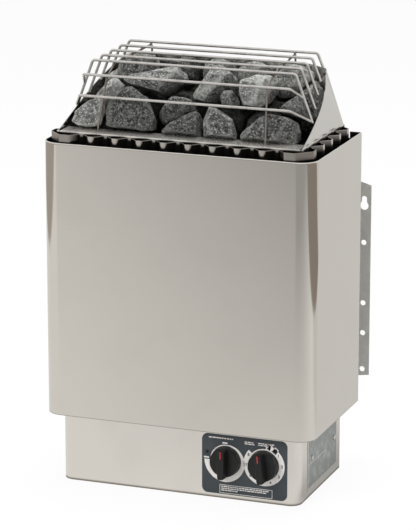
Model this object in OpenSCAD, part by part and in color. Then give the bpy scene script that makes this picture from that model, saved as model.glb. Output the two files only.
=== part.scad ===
// Wall-hung electric sauna heater: stone chamber in a polished casing over a control box.
// Origin at the middle of the control box underside, front towards -Y, wall towards +Y.

/* [Control box] */
// Width of the control box
box_w = 365; // [350:1:380]
// Depth of the control box
box_d = 188; // [180:1:194]
// Height of the control box up to the chamber floor
box_h = 110; // [106:1:125]
// Radius of its two front corners
box_r = 17; // [8:1:17]

/* [Sheet metal] */
// Thickness of the folded sheets
sheet = 1; // [0.8:0.1:1.6]
// Play between sheets that nest in one another
seat_gap = 0.2; // [0.1:0.05:0.4]

/* [Outer casing] */
// Width of the casing
casing_w = 410; // [404:1:430]
// Depth of the casing
casing_d = 221; // [216:1:235]
// Height of the casing
casing_h = 404; // [390:1:425]
// Height of its lower edge above the underside
casing_z = 101; // [99:1:105]
// Radius of its two front corners
casing_r = 26; // [18:1:32]
// How far its front stands ahead of the control box
casing_lead = 13.5; // [8:0.5:18]
// Height of the folded hem inside the rim
hem_h = 9; // [5:1:15]
// Thickness that the hem adds
hem_t = 1.6; // [1:0.1:2.4]
// Width of the returns at its back edges
return_w = 18; // [14:1:24]

/* [Stone chamber] */
// Casing front to chamber front
front_gap = 16; // [15.5:0.5:20]
// Casing side to chamber side
side_gap = 20.5; // [19:0.5:24]
// Chamber back to casing back
back_gap = 20.8; // [18:0.2:26]
// Height of the chamber edge above the casing rim
basket_rise = 15; // [13:1:20]
// Depth of the lip at its front edge
lip_d = 22; // [16:1:26]
// Height of the chamber back above the casing rim
back_rise = 99; // [92:1:103]

/* [Corrugated liner] */
// Most teeth across the front, an even number
front_teeth = 8; // [6:2:8]
// Most teeth along each side
side_teeth = 4; // [3:1:4]
// Distance from tooth to tooth
tooth_pitch = 36.6; // [34:0.2:38]
// Width of the flats
tooth_flat = 8; // [5:0.5:12]
// Depth of the teeth
tooth_d = 11.5; // [8:0.5:12]
// Thickness of the strip
liner_t = 0.8; // [0.5:0.1:1]
// Height of the strip
liner_h = 370; // [200:5:380]
// Height of its upper edge above the casing rim
liner_rise = 12; // [8:1:13]
// Corner taken off at the front
corner_cut = 20; // [14:1:24]

/* [Side plates] */
// Thickness of the plates over the chamber sides
plate_t = 1; // [0.8:0.1:1.5]
// Lean of the plates towards the middle
plate_lean = 19; // [15:1:21]
// Length up the slope at the back edge
plate_slope = 81; // [70:1:84]
// Hollow of the front edge
plate_hollow = 4.5; // [0:0.5:10]
// How far the front edge bows out
plate_bow = 7; // [0:0.5:9]
// Depth of the tab inside the chamber
plate_tab = 11; // [6:1:11]

/* [Stone guard] */
// Radius of the bars
bar_r = 2; // [1.5:0.1:2.4]
// Radius of the two wires that carry them
wire_r = 1.5; // [1.2:0.1:2]
// Bars over the top
top_bars = 5; // [3:1:5]
// Distance between top bars
bar_pitch = 30; // [27:1:30]
// Height of the rear bar above the casing rim
guard_h = 116; // [112:1:125]
// Fall from bar to bar towards the front
bar_drop = 2; // [0:0.5:3]
// Bend radius of the bars
bar_bend = 5; // [4:1:12]
// Bend radius of the carrying wires
wire_bend = 8; // [5:1:10]
// Bend radius of those wires behind the rear bar
rear_bend = 4; // [3:0.5:5]

/* [Heating elements] */
// Radius of the element tube
element_r = 4.2; // [3.2:0.1:5]
// Distance between the three elements
element_pitch = 46; // [40:1:48]
// Distance between the legs of one element
leg_gap = 80; // [60:1:90]
// Depth of the upper bends under the casing rim
element_top = 57; // [56:1:75]
// Depth of the lower bend under the casing rim
element_low = 120; // [113:1:135]

/* [Stones and grate] */
// Depth of the grate that carries the stones under the casing rim
grate_z = 160; // [153:1:185]
// Height of a grate bar
grate_bar_h = 8; // [5:1:10]
// Thickness of a grate bar
grate_bar_t = 5; // [3:0.5:6]
// Play between neighbouring stones
stone_gap = 0.5; // [0.3:0.1:0.8]

/* [Control panel] */
// Width of the printed panel
panel_w = 129; // [120:1:129]
// Height of the printed panel
panel_h = 89; // [80:1:92]
// Thickness of the printed panel
panel_t = 0.8; // [0.5:0.1:1.5]
// Corner radius of the panel
panel_r = 9; // [3:1:15]
// Middle of the panel from the middle of the heater
panel_x = 101; // [90:1:101]
// Middle of the panel above the underside
panel_z = 51; // [47:1:52]

/* [Knobs and button] */
// Distance between the two knobs
knob_gap = 57.5; // [52:0.5:60]
// Height of the knobs above the underside
knob_z = 57; // [50:1:60]
// Radius of a knob skirt
knob_r = 22; // [18:0.5:25]
// Thickness of the skirt
skirt_t = 10.5; // [8:0.5:12]
// Width of the grip bar
grip_w = 12; // [8:0.5:16]
// Height of the grip bar over the skirt
grip_h = 14; // [10:0.5:18]
// Gap between knob and panel
knob_off = 0.6; // [0.4:0.1:2]
// Radius of the knob spindles
spindle_r = 3; // [2.5:0.1:3.5]
// Running clearance of spindles and button
run_gap = 0.05; // [0.03:0.01:0.1]
// Radius of the reset button
reset_r = 2.25; // [1.5:0.05:3]
// Reset button from the middle of the heater
reset_x = 44.5; // [42:0.5:46]
// Height of the reset button
reset_z = 68; // [62:1:74]
// Travel of the reset button
reset_travel = 2.5; // [1:0.5:4]

/* [Wall bracket] */
// Casing back to the wall
wall_off = 59; // [45:1:80]
// Thickness of the bracket
bracket_t = 1.5; // [1.2:0.1:2.5]
// Half width over the outer edges of the flanges
flange_x = 202; // [198:1:206]
// Half width at the webs
web_x = 165; // [160:1:170]
// Height of the lower end of the rails
rail_z = 118; // [110:1:130]
// Length of the rails
rail_h = 306; // [280:1:320]
// Half distance between the fixing holes
hole_x = 191.5; // [188:0.5:193]
// Radius of the fixing holes
hole_r = 4; // [3:0.25:5]
// Radius of the entry of the keyholes
key_r = 6.5; // [5.5:0.25:7.5]

/* [Cable entry] */
// Radius of the bore for the supply cable
cable_r = 6.5; // [5:0.25:7.5]
// Gland from the middle of the heater
gland_x = -110; // [-130:1:-90]
// Height of the gland
gland_z = 40; // [30:1:60]

/* [Hidden] */
$fn = 64;

// Planes of the control box
box_front = -box_d / 2;
box_back_y = box_d / 2;
wall_in = box_front + sheet;
deck_top = box_h + sheet;

// Planes of the casing
casing_front = box_front - casing_lead;
casing_back = casing_front + casing_d;
casing_top = casing_z + casing_h;
panel_back_y = casing_back - sheet;

// Planes of the chamber
chamber_w = casing_w - 2 * side_gap;
chamber_front = casing_front + front_gap;
chamber_back = casing_back - back_gap;
chamber_mid = (chamber_front + chamber_back) / 2;
inner_x = chamber_w / 2 - sheet;
inner_front = chamber_front + sheet;
inner_back = chamber_back - sheet;
basket_top = casing_top + basket_rise;
deck_w = max(box_w, chamber_w);
deck_front = min(box_front, chamber_front);
deck_back = max(box_back_y, chamber_back);

// Small features
cut = 1;
lip_end = 4;
spacer_r = 6;
screw_r = 2;
head_r = 4.2;
head_h = 2.5;
screw_play = 0.2;
spacer_x = 125;
spacer_rise = 85;
spacer_clear = 21;
spacer_z = [casing_z + spacer_rise, rail_z + rail_h + spacer_clear];
stay_w = 20;
stay_h = 12;
stay_y = 50;
plate_nose = 2;
plate_top = 3;
plate_skew = 0.46;
plate_steps = 16;
back_fall = 5;
back_slant = 24;

// Liner
tooth_ramp = (tooth_pitch - 2 * tooth_flat) / 2;
side_end = 2;
tip_x = chamber_w / 2 + tooth_d;
tip_y = chamber_front - tooth_d;
corner_room = corner_cut + tooth_ramp + tooth_flat / 2;
front_half = min(front_teeth / 2, floor((tip_x - corner_room) / tooth_pitch));
side_count = min(side_teeth, floor((chamber_back - side_end - tip_y - corner_room) / tooth_pitch));

// Stone guard, with its bars set in from the chamber sides
rear_bar_in = 26;
rear_bar = [casing_back - rear_bar_in, casing_top + guard_h];
guard_inset = 38.8;
half_step = 2;
leg_out = 9.3;
leg_out_step = 4;
leg_down = 22;
leg_down_step = 11.5;
front_bar_depth = [44.4, 35.2];
front_bar_drop = [23.3, 52.3];
front_bar_inset = [29.1, 26.5];
function front_bar(i) = [casing_front + front_bar_depth[i], rear_bar.y - front_bar_drop[i]];
tail_meet = [0.47, 0.95];
weld_gap = 0.2;
wire_sides = 12;
bend_steps = 5;
foot_depth = 22.5;
foot_h = 6;
foot_inset = 58;
foot_x = inner_x - foot_inset;
wire_mid_in = 5.5;
wire_mid_x = foot_x - wire_mid_in;
wire_rear_in = 15;
wire_rear_x = foot_x - wire_rear_in;
rest_tab_w = 12;
rest_tab_d = 8;
rest_tab_rise = 55;
rest_tab_z = casing_top + rest_tab_rise;

// Heating elements
element_y = [for (k = [-1:1]) chamber_mid + k * element_pitch];
bend_high = casing_top - element_top;
bend_low = casing_top - element_low;
bend_play = 0.01;
bush_r = 8;
bush_h = 7;
stud_r = 2.5;
stud_l = 18;
link_t = 1.5;

// Grate
rail_leg = 16;
rail_t = 1.5;
grate_low = casing_top - grate_z;
grate_top = grate_low + grate_bar_h;
tie_x = 80;
tie_w = 12;
tie_t = 3;
tie_l = 3.75 * element_pitch;

// Stones
element_room = 0.8;
chip = 0.8;
shown_turn = 20;
shown_rise = 15;
under_drop = 46;
under_z = casing_top - under_drop;
pile_rise = 2;
pile_z = casing_top + pile_rise;
slab = element_r + element_room;
across = 5;
reach = 130;
span = 2 * casing_w;
side_room = 8;
lip_room = 2;
row_fill = [1.1, 1.25, 1.15];

// Knobs, turned against the clock as they are shown
thermostat_shown = 0;
timer_shown = 6;
knob_shift = 1;
thermostat_x = panel_x - knob_gap / 2 + knob_shift;
timer_x = thermostat_x + knob_gap;
panel_front = box_front - panel_t;
bush_wall = 1.5;
bush_neck_r = spindle_r + bush_wall;
spindle_in = 14;
spindle_out = 11;
flat_cut = 0.8;
grip_inset = 0.5;
pointer_inset = 0.8;
pointer_w = 1.4;
pointer_l = 11;
pointer_t = 1;
switch_w = 34;
switch_h = 36;
switch_d = 30;
timer_w = 48;
timer_d = 45;
limiter_r = 10.5;
limiter_d = 26;
button_in = 10;
button_proud = 0.6;

// Sensors and wiring
tube_r = 1;
tube_hole_r = 3;
bulb_r = 3;
bulb_rise = 110;
bulb_z = casing_z + bulb_rise;
bulb_l = 80;
sensor_y = (chamber_back + casing_back - 2 * sheet) / 2;
tube_bend = 6;
clip_h = 12;
block_l = 100;
block_d = 32;
block_h = 26;
block_x = -40;
block_y = 15;
posts = 5;
post_pitch = 18;
post_r = 3.5;
post_h = 3;
post_room = 1;
lead_r = 1.2;
lead_bend = 3;
lead_z = 45;
lead_step = 7;
timer_tag = 20;
timer_run = 12;

// Cable gland
gland_wall = 3;
gland_thread_r = cable_r + gland_wall;
gland_flange = 4;
gland_hex_r = gland_thread_r + gland_flange;
gland_dome_wall = 4.5;
gland_dome_r = cable_r + gland_dome_wall;
gland_hex_h = 8;
gland_dome_h = 14;
gland_thread_l = 9;
nut_h = 5;

// Side cover plate
cover_t = 0.6;
cover_y = [-55, 78];
cover_z = [12, 97];
cover_screw_y = [-35.5, 65.5];
cover_screw_z = 56;
cover_screw_l = 7;

// Wall bracket
wall_y = casing_back + wall_off;
rail_front_w = 26;
rail_chamfer = [11, 5];
round_hole_z = [13.5, 69.5, 115.5, 208];
key_z = 264;
key_step = 10.5;
cross_h = 25;
cross_front = panel_back_y + bracket_t;
hook_w = 25;
hook_x = 60;
hook_rise = 24;
hook_drop = 21;
lock_r = 2.5;
lock_in = 8;

// Directions and rigid placements
function unit(v) = v / norm(v);
function turn(a, b) = acos(max(-1, min(1, a * b)));
function square_to(d) = unit(cross(d, abs(d.z) < 0.9 ? [0, 0, 1] : [1, 0, 0]));
function placed(x, y, z, o) = [
    [x.x, y.x, z.x, o.x], [x.y, y.y, z.y, o.y], [x.z, y.z, z.z, o.z], [0, 0, 0, 1]
];

// A path moved to its right-hand side by t, with mitred corners
function right_of(d) = [d.y, -d.x];
function offset_path(p, t) = let (
    n = len(p),
    s = [for (i = [0:n - 2]) right_of(unit(p[i + 1] - p[i]))]
) [
    for (i = [0:n - 1])
        i == 0 ? p[0] + t * s[0]
        : i == n - 1 ? p[i] + t * s[i - 1]
        : p[i] + t * (s[i - 1] + s[i]) / (1 + s[i - 1] * s[i])
];

// Straight round rod between two points
module rod(a, b, r) {
    d = unit(b - a);
    u = square_to(d);
    multmatrix(placed(u, cross(d, u), d, a)) cylinder(r = r, h = norm(b - a), $fn = 32);
}

// Round bend at p between directions a and b
module elbow(p, a, b, r, bend) {
    t = turn(a, b);
    c = p + unit(b - a) * bend / cos(t / 2);
    s = p - a * bend * tan(t / 2);
    multmatrix(placed(unit(s - c), a, unit(cross(a, b)), c))
        rotate_extrude(angle = t) translate([bend, 0]) circle(r, $fn = 32);
}

// Round wire through points, bent at each corner
module bent_wire(p, r, bend) {
    n = len(p);
    d = [for (i = [0:n - 2]) unit(p[i + 1] - p[i])];
    trim = [for (i = [0:n - 1]) i == 0 || i == n - 1 ? 0 : bend * tan(turn(d[i - 1], d[i]) / 2)];
    for (i = [0:n - 2])
        if (norm(p[i + 1] - p[i]) - trim[i] - trim[i + 1] > 0.01)
            rod(p[i] + d[i] * trim[i], p[i + 1] - d[i] * trim[i + 1], r);
    for (i = [1:n - 2])
        if (trim[i] > 0.01) elbow(p[i], d[i - 1], d[i], r, bend);
}

// Points and directions along a path whose corners are rounded, by one radius or a list of radii
function bend_points(p, a, b, bend) = let (
    t = turn(a, b),
    c = p + unit(b - a) * bend / cos(t / 2),
    x = unit(p - a * bend * tan(t / 2) - c)
) [
    for (k = [0:bend_steps]) let (w = t * k / bend_steps)
        [c + bend * (cos(w) * x + sin(w) * a), cos(w) * a - sin(w) * x]
];
function rounded_path(p, bend) = let (
    n = len(p),
    d = [for (i = [0:n - 2]) unit(p[i + 1] - p[i])]
) concat(
    [[p[0], d[0]]],
    [for (i = [1:n - 2]) each bend_points(p[i], d[i - 1], d[i], is_list(bend) ? bend[i - 1] : bend)],
    [[p[n - 1], d[n - 2]]]
);

// Round wire through points in any direction, as one swept skin
module swept_wire(p, r, bend) {
    path = rounded_path(p, bend);
    n = len(path);
    m = wire_sides;
    across = [
        for (i = 0, u = square_to(path[0][1]); i < n;
             i = i + 1, u = i < n ? unit(u - path[i][1] * (path[i][1] * u)) : u) u
    ];
    points = [
        for (i = [0:n - 1], j = [0:m - 1])
            path[i][0] + r * (cos(360 * j / m) * across[i] + sin(360 * j / m) * cross(path[i][1], across[i]))
    ];
    skin = [
        for (i = [0:n - 2], j = [0:m - 1])
            let (a = i * m + j, b = i * m + (j + 1) % m)
                each [[a, a + m, b], [b, a + m, b + m]]
    ];
    polyhedron(points, concat([[for (j = [0:m - 1]) j]], skin, [[for (j = [m - 1:-1:0]) (n - 1) * m + j]]));
}

// Plan of a wrap with two round front corners
module wrap_plan(w, front, back, r) {
    translate([-w / 2, front + r]) square([w, back - front - r]);
    translate([-w / 2 + r, front]) square([w - 2 * r, back - front]);
    for (s = [-1, 1]) translate([s * (w / 2 - r), front + r]) circle(r);
}

// Solid wrap between two heights
module wrap(w, front, back, r, z0, z1) {
    translate([0, 0, z0]) linear_extrude(z1 - z0) wrap_plan(w, front, back, r);
}

// Block between two corners
module block(a, b) {
    translate(a) cube(b - a);
}

// Round pin along Y from y0 to y1
module pin_y(x, z, r, y0, y1) {
    translate([x, y1, z]) rotate([90, 0, 0]) cylinder(r = r, h = y1 - y0);
}

// Hexagon along Y from y0 to y1
module hex_y(x, z, r, y0, y1) {
    translate([x, y1, z]) rotate([90, 0, 0]) cylinder(r = r, h = y1 - y0, $fn = 6);
}

// Control box: front and sides in one wrap
module box_cover() color("silver") difference() {
    wrap(box_w, box_front, box_back_y, box_r, 0, box_h);
    wrap(box_w - 2 * sheet, wall_in, box_back_y + cut, box_r - sheet, -cut, box_h + cut);
    for (x = [thermostat_x, timer_x])
        pin_y(x, knob_z, bush_neck_r + screw_play, box_front - cut, wall_in + cut);
    pin_y(reset_x, reset_z, reset_r + screw_play, box_front - cut, wall_in + cut);
    for (y = cover_screw_y)
        translate([box_w / 2 - sheet - cut, y, cover_screw_z])
            rotate([0, 90, 0]) cylinder(r = screw_r + screw_play, h = sheet + 2 * cut);
}

// Rear wall of the control box with its cable and sensor holes
module box_back() color("silver") difference() {
    block([-box_w / 2 + sheet + seat_gap, box_back_y - sheet, sheet + seat_gap],
          [box_w / 2 - sheet - seat_gap, box_back_y, box_h]);
    pin_y(gland_x, gland_z, gland_thread_r + screw_play, box_back_y - sheet - cut, box_back_y + cut);
    for (s = sensors())
        pin_y(s.x, s.z, tube_hole_r, box_back_y - sheet - cut, box_back_y + cut);
}

// Underside of the control box
module base_plate() color("gray")
    wrap(box_w - 2 * (sheet + seat_gap), wall_in + seat_gap, box_back_y, box_r - sheet - seat_gap, 0, sheet);

// Chamber floor that carries the elements
module deck_plate() color("gray") difference() {
    wrap(deck_w, deck_front, deck_back, box_r, box_h, deck_top);
    for (y = element_y, s = [-1, 1])
        translate([s * 1.5 * leg_gap, y, box_h - cut])
            cylinder(r = element_r + screw_play, h = sheet + 2 * cut);
}

// Polished casing round the chamber
module outer_casing() color("silver") difference() {
    wrap(casing_w, casing_front, casing_back, casing_r, casing_z, casing_top);
    wrap(casing_w - 2 * sheet, casing_front + sheet, panel_back_y, casing_r - sheet,
         casing_z - cut, casing_top - hem_h);
    wrap(casing_w - 2 * (sheet + hem_t), casing_front + sheet + hem_t, panel_back_y,
         casing_r - sheet - hem_t, casing_top - hem_h - cut, casing_top + cut);
    block([-casing_w / 2 + return_w, panel_back_y - cut, casing_z - cut],
          [casing_w / 2 - return_w, casing_back + cut, casing_top + cut]);
}

// Rear wall of the casing
module back_panel() color("gray") difference() {
    block([-casing_w / 2 + sheet + seat_gap, panel_back_y - sheet, casing_z],
          [casing_w / 2 - sheet - seat_gap, panel_back_y, casing_top - hem_h - seat_gap]);
    for (x = [-spacer_x, spacer_x], z = spacer_z)
        pin_y(x, z, screw_r + screw_play, panel_back_y - sheet - cut, panel_back_y + cut);
    pin_y(0, rail_z + cross_h / 2, lock_r + screw_play, panel_back_y - sheet - cut, panel_back_y + cut);
}

// Tubes that hold the rear wall off the chamber
module back_spacers() color("silver")
    for (x = [-spacer_x, spacer_x], z = spacer_z) difference() {
        pin_y(x, z, spacer_r, chamber_back, panel_back_y - sheet);
        pin_y(x, z, screw_r + run_gap, chamber_back - cut, panel_back_y);
    }

// Screws through the rear wall into the spacers
module panel_screws() color("dimgray")
    for (x = [-spacer_x, spacer_x], z = spacer_z) {
        pin_y(x, z, head_r, panel_back_y, panel_back_y + head_h);
        pin_y(x, z, screw_r, chamber_back + cut, panel_back_y);
    }

// Channels between the chamber sides and the casing sides
module casing_stays() color("gray") {
    from = chamber_w / 2;
    to = casing_w / 2 - sheet;
    for (s = [0, 1], y = [-stay_y, stay_y]) mirror([s, 0, 0]) {
        block([from, y - stay_w / 2, deck_top], [to, y + stay_w / 2, deck_top + sheet]);
        for (x = [from, to - sheet])
            block([x, y - stay_w / 2, deck_top], [x + sheet, y + stay_w / 2, deck_top + stay_h]);
    }
}

// Front and sides of the stone chamber with the front lip
module basket_walls() color("silver") {
    block([-chamber_w / 2, chamber_front, deck_top], [chamber_w / 2, inner_front, basket_top]);
    for (s = [0, 1]) mirror([s, 0, 0])
        block([inner_x, chamber_front, deck_top], [chamber_w / 2, chamber_back, basket_top]);
    block([-inner_x + lip_end, chamber_front, basket_top - sheet],
          [inner_x - lip_end, chamber_front + lip_d, basket_top]);
}

// Rear wall of the chamber, narrowed over the rim, with rests for the guard
module basket_back() color("silver") {
    w = inner_x - seat_gap;
    top = casing_top + back_rise;
    bend = basket_top - cut;
    end = top - back_fall;
    narrow = w - (end - bend) * tan(plate_lean);
    flat = narrow - back_slant;
    translate([0, chamber_back, 0]) rotate([90, 0, 0]) linear_extrude(sheet)
        polygon([
            [-w, deck_top], [w, deck_top], [w, bend], [narrow, end], [flat, top],
            [-flat, top], [-narrow, end], [-w, bend]
        ]);
    for (s = [-1, 1])
        block([s * wire_rear_x - rest_tab_w / 2, inner_back - rest_tab_d, rest_tab_z - sheet],
              [s * wire_rear_x + rest_tab_w / 2, inner_back, rest_tab_z]);
}

// Front edge of a side plate: depth, length up the slope, and how far it stands out from the slope
function plate_edge() = let (
    low = [inner_front + seat_gap, plate_nose],
    way = [inner_back - plate_top, plate_slope] - low,
    aside = [way.y, -way.x] / norm(way)
) [for (k = [0:plate_steps]) let (t = k / plate_steps, arch = 4 * t * (1 - t))
    concat(low + way * t + aside * plate_hollow * arch, plate_bow * arch * (1 + plate_skew * (2 * t - 1)))];

// Plate over one side of the chamber, folded in over the stones, with a fan of faces from its rear corner
module side_plate() {
    bend = basket_top - cut;
    rim = concat([[inner_back - seat_gap, 0, 0], [inner_front + seat_gap, 0, 0]], plate_edge(),
                 [[inner_back - seat_gap, plate_slope, 0]]);
    n = len(rim);
    block([inner_x - plate_t, inner_front + seat_gap, bend - plate_tab],
          [inner_x, inner_back - seat_gap, bend]);
    multmatrix(placed([0, 1, 0], [-sin(plate_lean), 0, cos(plate_lean)],
                      [cos(plate_lean), 0, sin(plate_lean)], [inner_x, 0, bend]))
        polyhedron(
            concat(rim, [for (p = rim) p - [0, 0, plate_t]]),
            concat(
                [for (k = [1:n - 2]) [0, k, k + 1]],
                [for (k = [1:n - 2]) [n, n + k + 1, n + k]],
                [for (k = [0:n - 1]) [k, n + k, n + (k + 1) % n, (k + 1) % n]]
            )
        );
}
module side_plate_right() color("silver") side_plate();
module side_plate_left() color("silver") mirror([1, 0, 0]) side_plate();

// Right half of the corrugation in plan, from the middle of the front to the back
function liner_half() = let (
    last = front_half * tooth_pitch + tooth_flat / 2,
    side_y = [for (i = [side_count - 1:-1:0]) chamber_back - side_end - (i + 0.5) * tooth_pitch],
    first = side_y[0] - tooth_pitch / 2 - tooth_flat / 2
) concat(
    [for (i = [0:front_half - 1]) let (x = (i + 0.5) * tooth_pitch) each [
        [x - tooth_pitch / 2 + tooth_flat / 2, chamber_front], [x - tooth_flat / 2, tip_y],
        [x + tooth_flat / 2, tip_y], [x + tooth_pitch / 2 - tooth_flat / 2, chamber_front]
    ]],
    [[last, chamber_front], [last + tooth_ramp, tip_y], [tip_x - corner_cut, tip_y],
     [tip_x, tip_y + corner_cut], [tip_x, first - tooth_ramp], [chamber_w / 2, first]],
    [for (y = side_y) each [
        [chamber_w / 2, y - tooth_pitch / 2 + tooth_flat / 2], [tip_x, y - tooth_flat / 2],
        [tip_x, y + tooth_flat / 2], [chamber_w / 2, y + tooth_pitch / 2 - tooth_flat / 2]
    ]],
    [[chamber_w / 2, chamber_back]]
);

// Corrugated strip round the front and sides of the chamber
module corrugated_liner() color("silver") {
    half = liner_half();
    n = len(half);
    path = concat([for (i = [n - 1:-1:0]) [-half[i].x, half[i].y]], half);
    outer = offset_path(path, liner_t);
    m = len(path);
    translate([0, 0, casing_top + liner_rise - liner_h]) linear_extrude(liner_h)
        polygon(concat(path, [for (i = [m - 1:-1:0]) outer[i]]));
}

// Grate bars with two ties under them
module stone_grate() color("dimgray") {
    half = inner_x - seat_gap;
    for (k = [-4:3]) {
        y = chamber_mid + (k + 0.5) * element_pitch / 2;
        block([-half, y - grate_bar_t / 2, grate_low], [half, y + grate_bar_t / 2, grate_top]);
    }
    for (s = [-1, 1])
        block([s * tie_x - tie_w / 2, chamber_mid - tie_l / 2, grate_low - tie_t],
              [s * tie_x + tie_w / 2, chamber_mid + tie_l / 2, grate_low]);
}

// Angles on the chamber sides under the grate
module grate_rails() color("gray")
    for (s = [0, 1]) mirror([s, 0, 0]) {
        block([inner_x - rail_leg, inner_front + seat_gap, grate_low - rail_t],
              [inner_x, inner_back - seat_gap, grate_low]);
        block([inner_x - rail_t, inner_front + seat_gap, grate_low - rail_leg],
              [inner_x, inner_back - seat_gap, grate_low]);
    }

// Tube element bent three times, with hexagon bushes on the floor and terminal studs under it
module heating_element(y) {
    a = 1.5 * leg_gap;
    b = 0.5 * leg_gap;
    foot = box_h - bush_h;
    bent_wire([
        [-a, y, foot], [-a, y, bend_high], [-b, y, bend_high], [-b, y, bend_low],
        [b, y, bend_low], [b, y, bend_high], [a, y, bend_high], [a, y, foot]
    ], element_r, leg_gap / 2 - bend_play);
    for (x = [-a, a]) translate([x, y, 0]) {
        translate([0, 0, deck_top]) cylinder(r = bush_r, h = bush_h, $fn = 6);
        translate([0, 0, foot]) cylinder(r = bush_r, h = bush_h, $fn = 6);
        translate([0, 0, foot - stud_l]) cylinder(r = stud_r, h = stud_l);
    }
}
module heating_element_front() color("dimgray") heating_element(element_y[0]);
module heating_element_middle() color("dimgray") heating_element(element_y[1]);
module heating_element_rear() color("dimgray") heating_element(element_y[2]);

// Strip that joins the right-hand studs
module star_link() color("goldenrod") {
    x = 1.5 * leg_gap;
    z = box_h - bush_h - link_t;
    difference() {
        block([x - bush_r, element_y[0] - bush_r, z], [x + bush_r, element_y[2] + bush_r, z + link_t]);
        for (y = element_y)
            translate([x, y, z - cut]) cylinder(r = stud_r + screw_play, h = link_t + 2 * cut);
    }
}

// Angle that varies from stone to stone
function vary(k, n, amount) = amount * sin(k * 97 + n * 151);

// Angular block with its edges and corners broken off
module rough_block(size, k) {
    c = chip / sqrt(2);
    w = size.x;
    d = size.y;
    h = size.z;
    rotate([vary(k, 1, 14), vary(k, 2, 14), vary(k, 3, 24)]) intersection() {
        cube(size, center = true);
        rotate([0, 0, 45 + vary(k, 4, 9)]) cube([c * (w + d), c * (w + d), 2 * h], center = true);
        rotate([45 + vary(k, 5, 9), 0, 0]) cube([2 * w, c * (d + h), c * (d + h)], center = true);
        rotate([0, 45 + vary(k, 6, 9), 0]) cube([c * (w + h), 2 * d, c * (w + h)], center = true);
    }
}

// Half space behind a plane through p that faces along n
module behind(p, n) {
    d = unit(n);
    u = square_to(d);
    multmatrix(placed(u, cross(d, u), d, p)) translate([-span / 2, -span / 2, -span]) cube(span);
}

// Half width, depth and height that the lists of stones are laid out in
laid_out = [183.5, 184.2, 116];
spread = [inner_x / laid_out.x, (chamber_back - chamber_front) / laid_out.y, guard_h / laid_out.z];

// Stones over the rim: across, depth behind the casing front, height over the rim, width, depth, height,
// then cuts as seen from the front right: angle from upright, distance from the middle
front_stones = [
    [-151, 49, 32, 70, 48, 58, [[-66, 20], [-35, 16], [-19, 19], [34, 33], [90, 26], [107, 24],
        [173, 18], [-174, 17], [-151, 20]]],
    [-88, 52, 42, 92, 62, 80, [[-80, 35], [-60, 32], [-40, 31], [8, 37], [37, 32], [70, 33], [89, 40],
        [171, 33], [-173, 26], [-165, 28], [-120, 39]]],
    [-8, 49, 28, 72, 50, 56, [[-59, 21], [-24, 11], [17, 27], [79, 31], [87, 32], [170, 23], [-174, 18],
        [-166, 19], [-117, 30]]],
    [50, 50, 35, 62, 50, 66, [[-91, 25], [-66, 25], [9, 22], [33, 16], [74, 19], [90, 24], [177, 29],
        [-173, 28], [-126, 31]]],
    [120, 52, 30, 106, 54, 58, [[-66, 36], [-37, 22], [-15, 21], [5, 22], [24, 27], [51, 44], [114, 54],
        [147, 39], [179, 21], [-169, 24], [-124, 42]]]
];
middle_stones = [
    [-148, 104, 48, 60, 66, 66, [[-66, 11], [-46, 10], [9, 31], [46, 34], [92, 29], [117, 24],
        [-171, 16]]],
    [-70, 100, 80, 116, 66, 66, [[-9, 13], [-11, 13], [5, 21], [70, 50], [96, 56], [169, 30], [-171, 19],
        [-163, 16], [-156, 19], [-123, 37]]],
    [-34, 88, 44, 80, 50, 64, [[-84, 21], [-54, 14], [6, 18], [17, 18], [98, 43], [159, 23], [180, 25],
        [-135, 29]]],
    [20, 104, 80, 84, 62, 74, [[-66, 21], [-54, 16], [-5, 27], [46, 30], [86, 37], [140, 31], [-175, 29],
        [-167, 30], [-114, 36]]],
    [80, 103, 74, 88, 62, 70, [[-85, 21], [-26, 21], [8, 26], [35, 33], [129, 31], [100, 37], [170, 28],
        [-173, 24], [-102, 22]]],
    [48, 84, 64, 46, 40, 42, [[-60, 11], [0, 11], [54, 12], [168, 13], [-169, 10], [-105, 10]]],
    [140, 100, 54, 64, 66, 62, [[-52, 14], [-30, 12], [35, 20], [68, 23], [140, 28], [-163, 12],
        [-121, 17]]]
];
back_stones = [
    [-114, 160, 84, 78, 62, 62, [[-80, 32], [-40, 24], [-5, 20], [9, 22], [60, 30], [120, 31], [167, 17],
        [-177, 18], [-146, 28]]],
    [-58, 162, 84, 76, 62, 56, [[-69, 17], [-25, 12], [-9, 15], [11, 23], [68, 40], [99, 42], [-178, 15],
        [-143, 17]]],
    [0, 164, 89, 70, 60, 60, [[-81, 16], [-37, 14], [-5, 15], [31, 20], [90, 37], [163, 26], [-173, 23],
        [-117, 21]]],
    [56, 162, 86, 70, 60, 60, [[-81, 19], [-35, 17], [-11, 17], [25, 21], [94, 38], [177, 19],
        [-127, 21]]],
    [112, 160, 82, 84, 64, 70, [[-90, 19], [-61, 21], [-11, 22], [11, 24], [75, 42], [100, 46],
        [174, 29], [-131, 27]]],
    [-150, 160, 48, 56, 76, 62],
    [150, 160, 48, 56, 76, 62]
];
core_stones = [
    [-95, 112, 26, 84, 74, 66], [-25, 122, 26, 80, 74, 66], [45, 118, 26, 80, 74, 66],
    [105, 112, 26, 80, 74, 66], [-105, 168, 28, 84, 60, 66], [-35, 170, 28, 80, 60, 66],
    [35, 170, 28, 80, 60, 66], [102, 168, 28, 80, 60, 66]
];
pile = concat(front_stones, middle_stones, back_stones, core_stones);
function seed(s) = [s[0] * spread.x, casing_front + s[1] * spread.y, casing_top + s[2] * spread.z];
function block_size(s) = [s[3] * spread.x, s[4] * spread.y, s[5] * spread.z];
function girth(s) = block_size(s) * [1, 1, 1];

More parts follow.
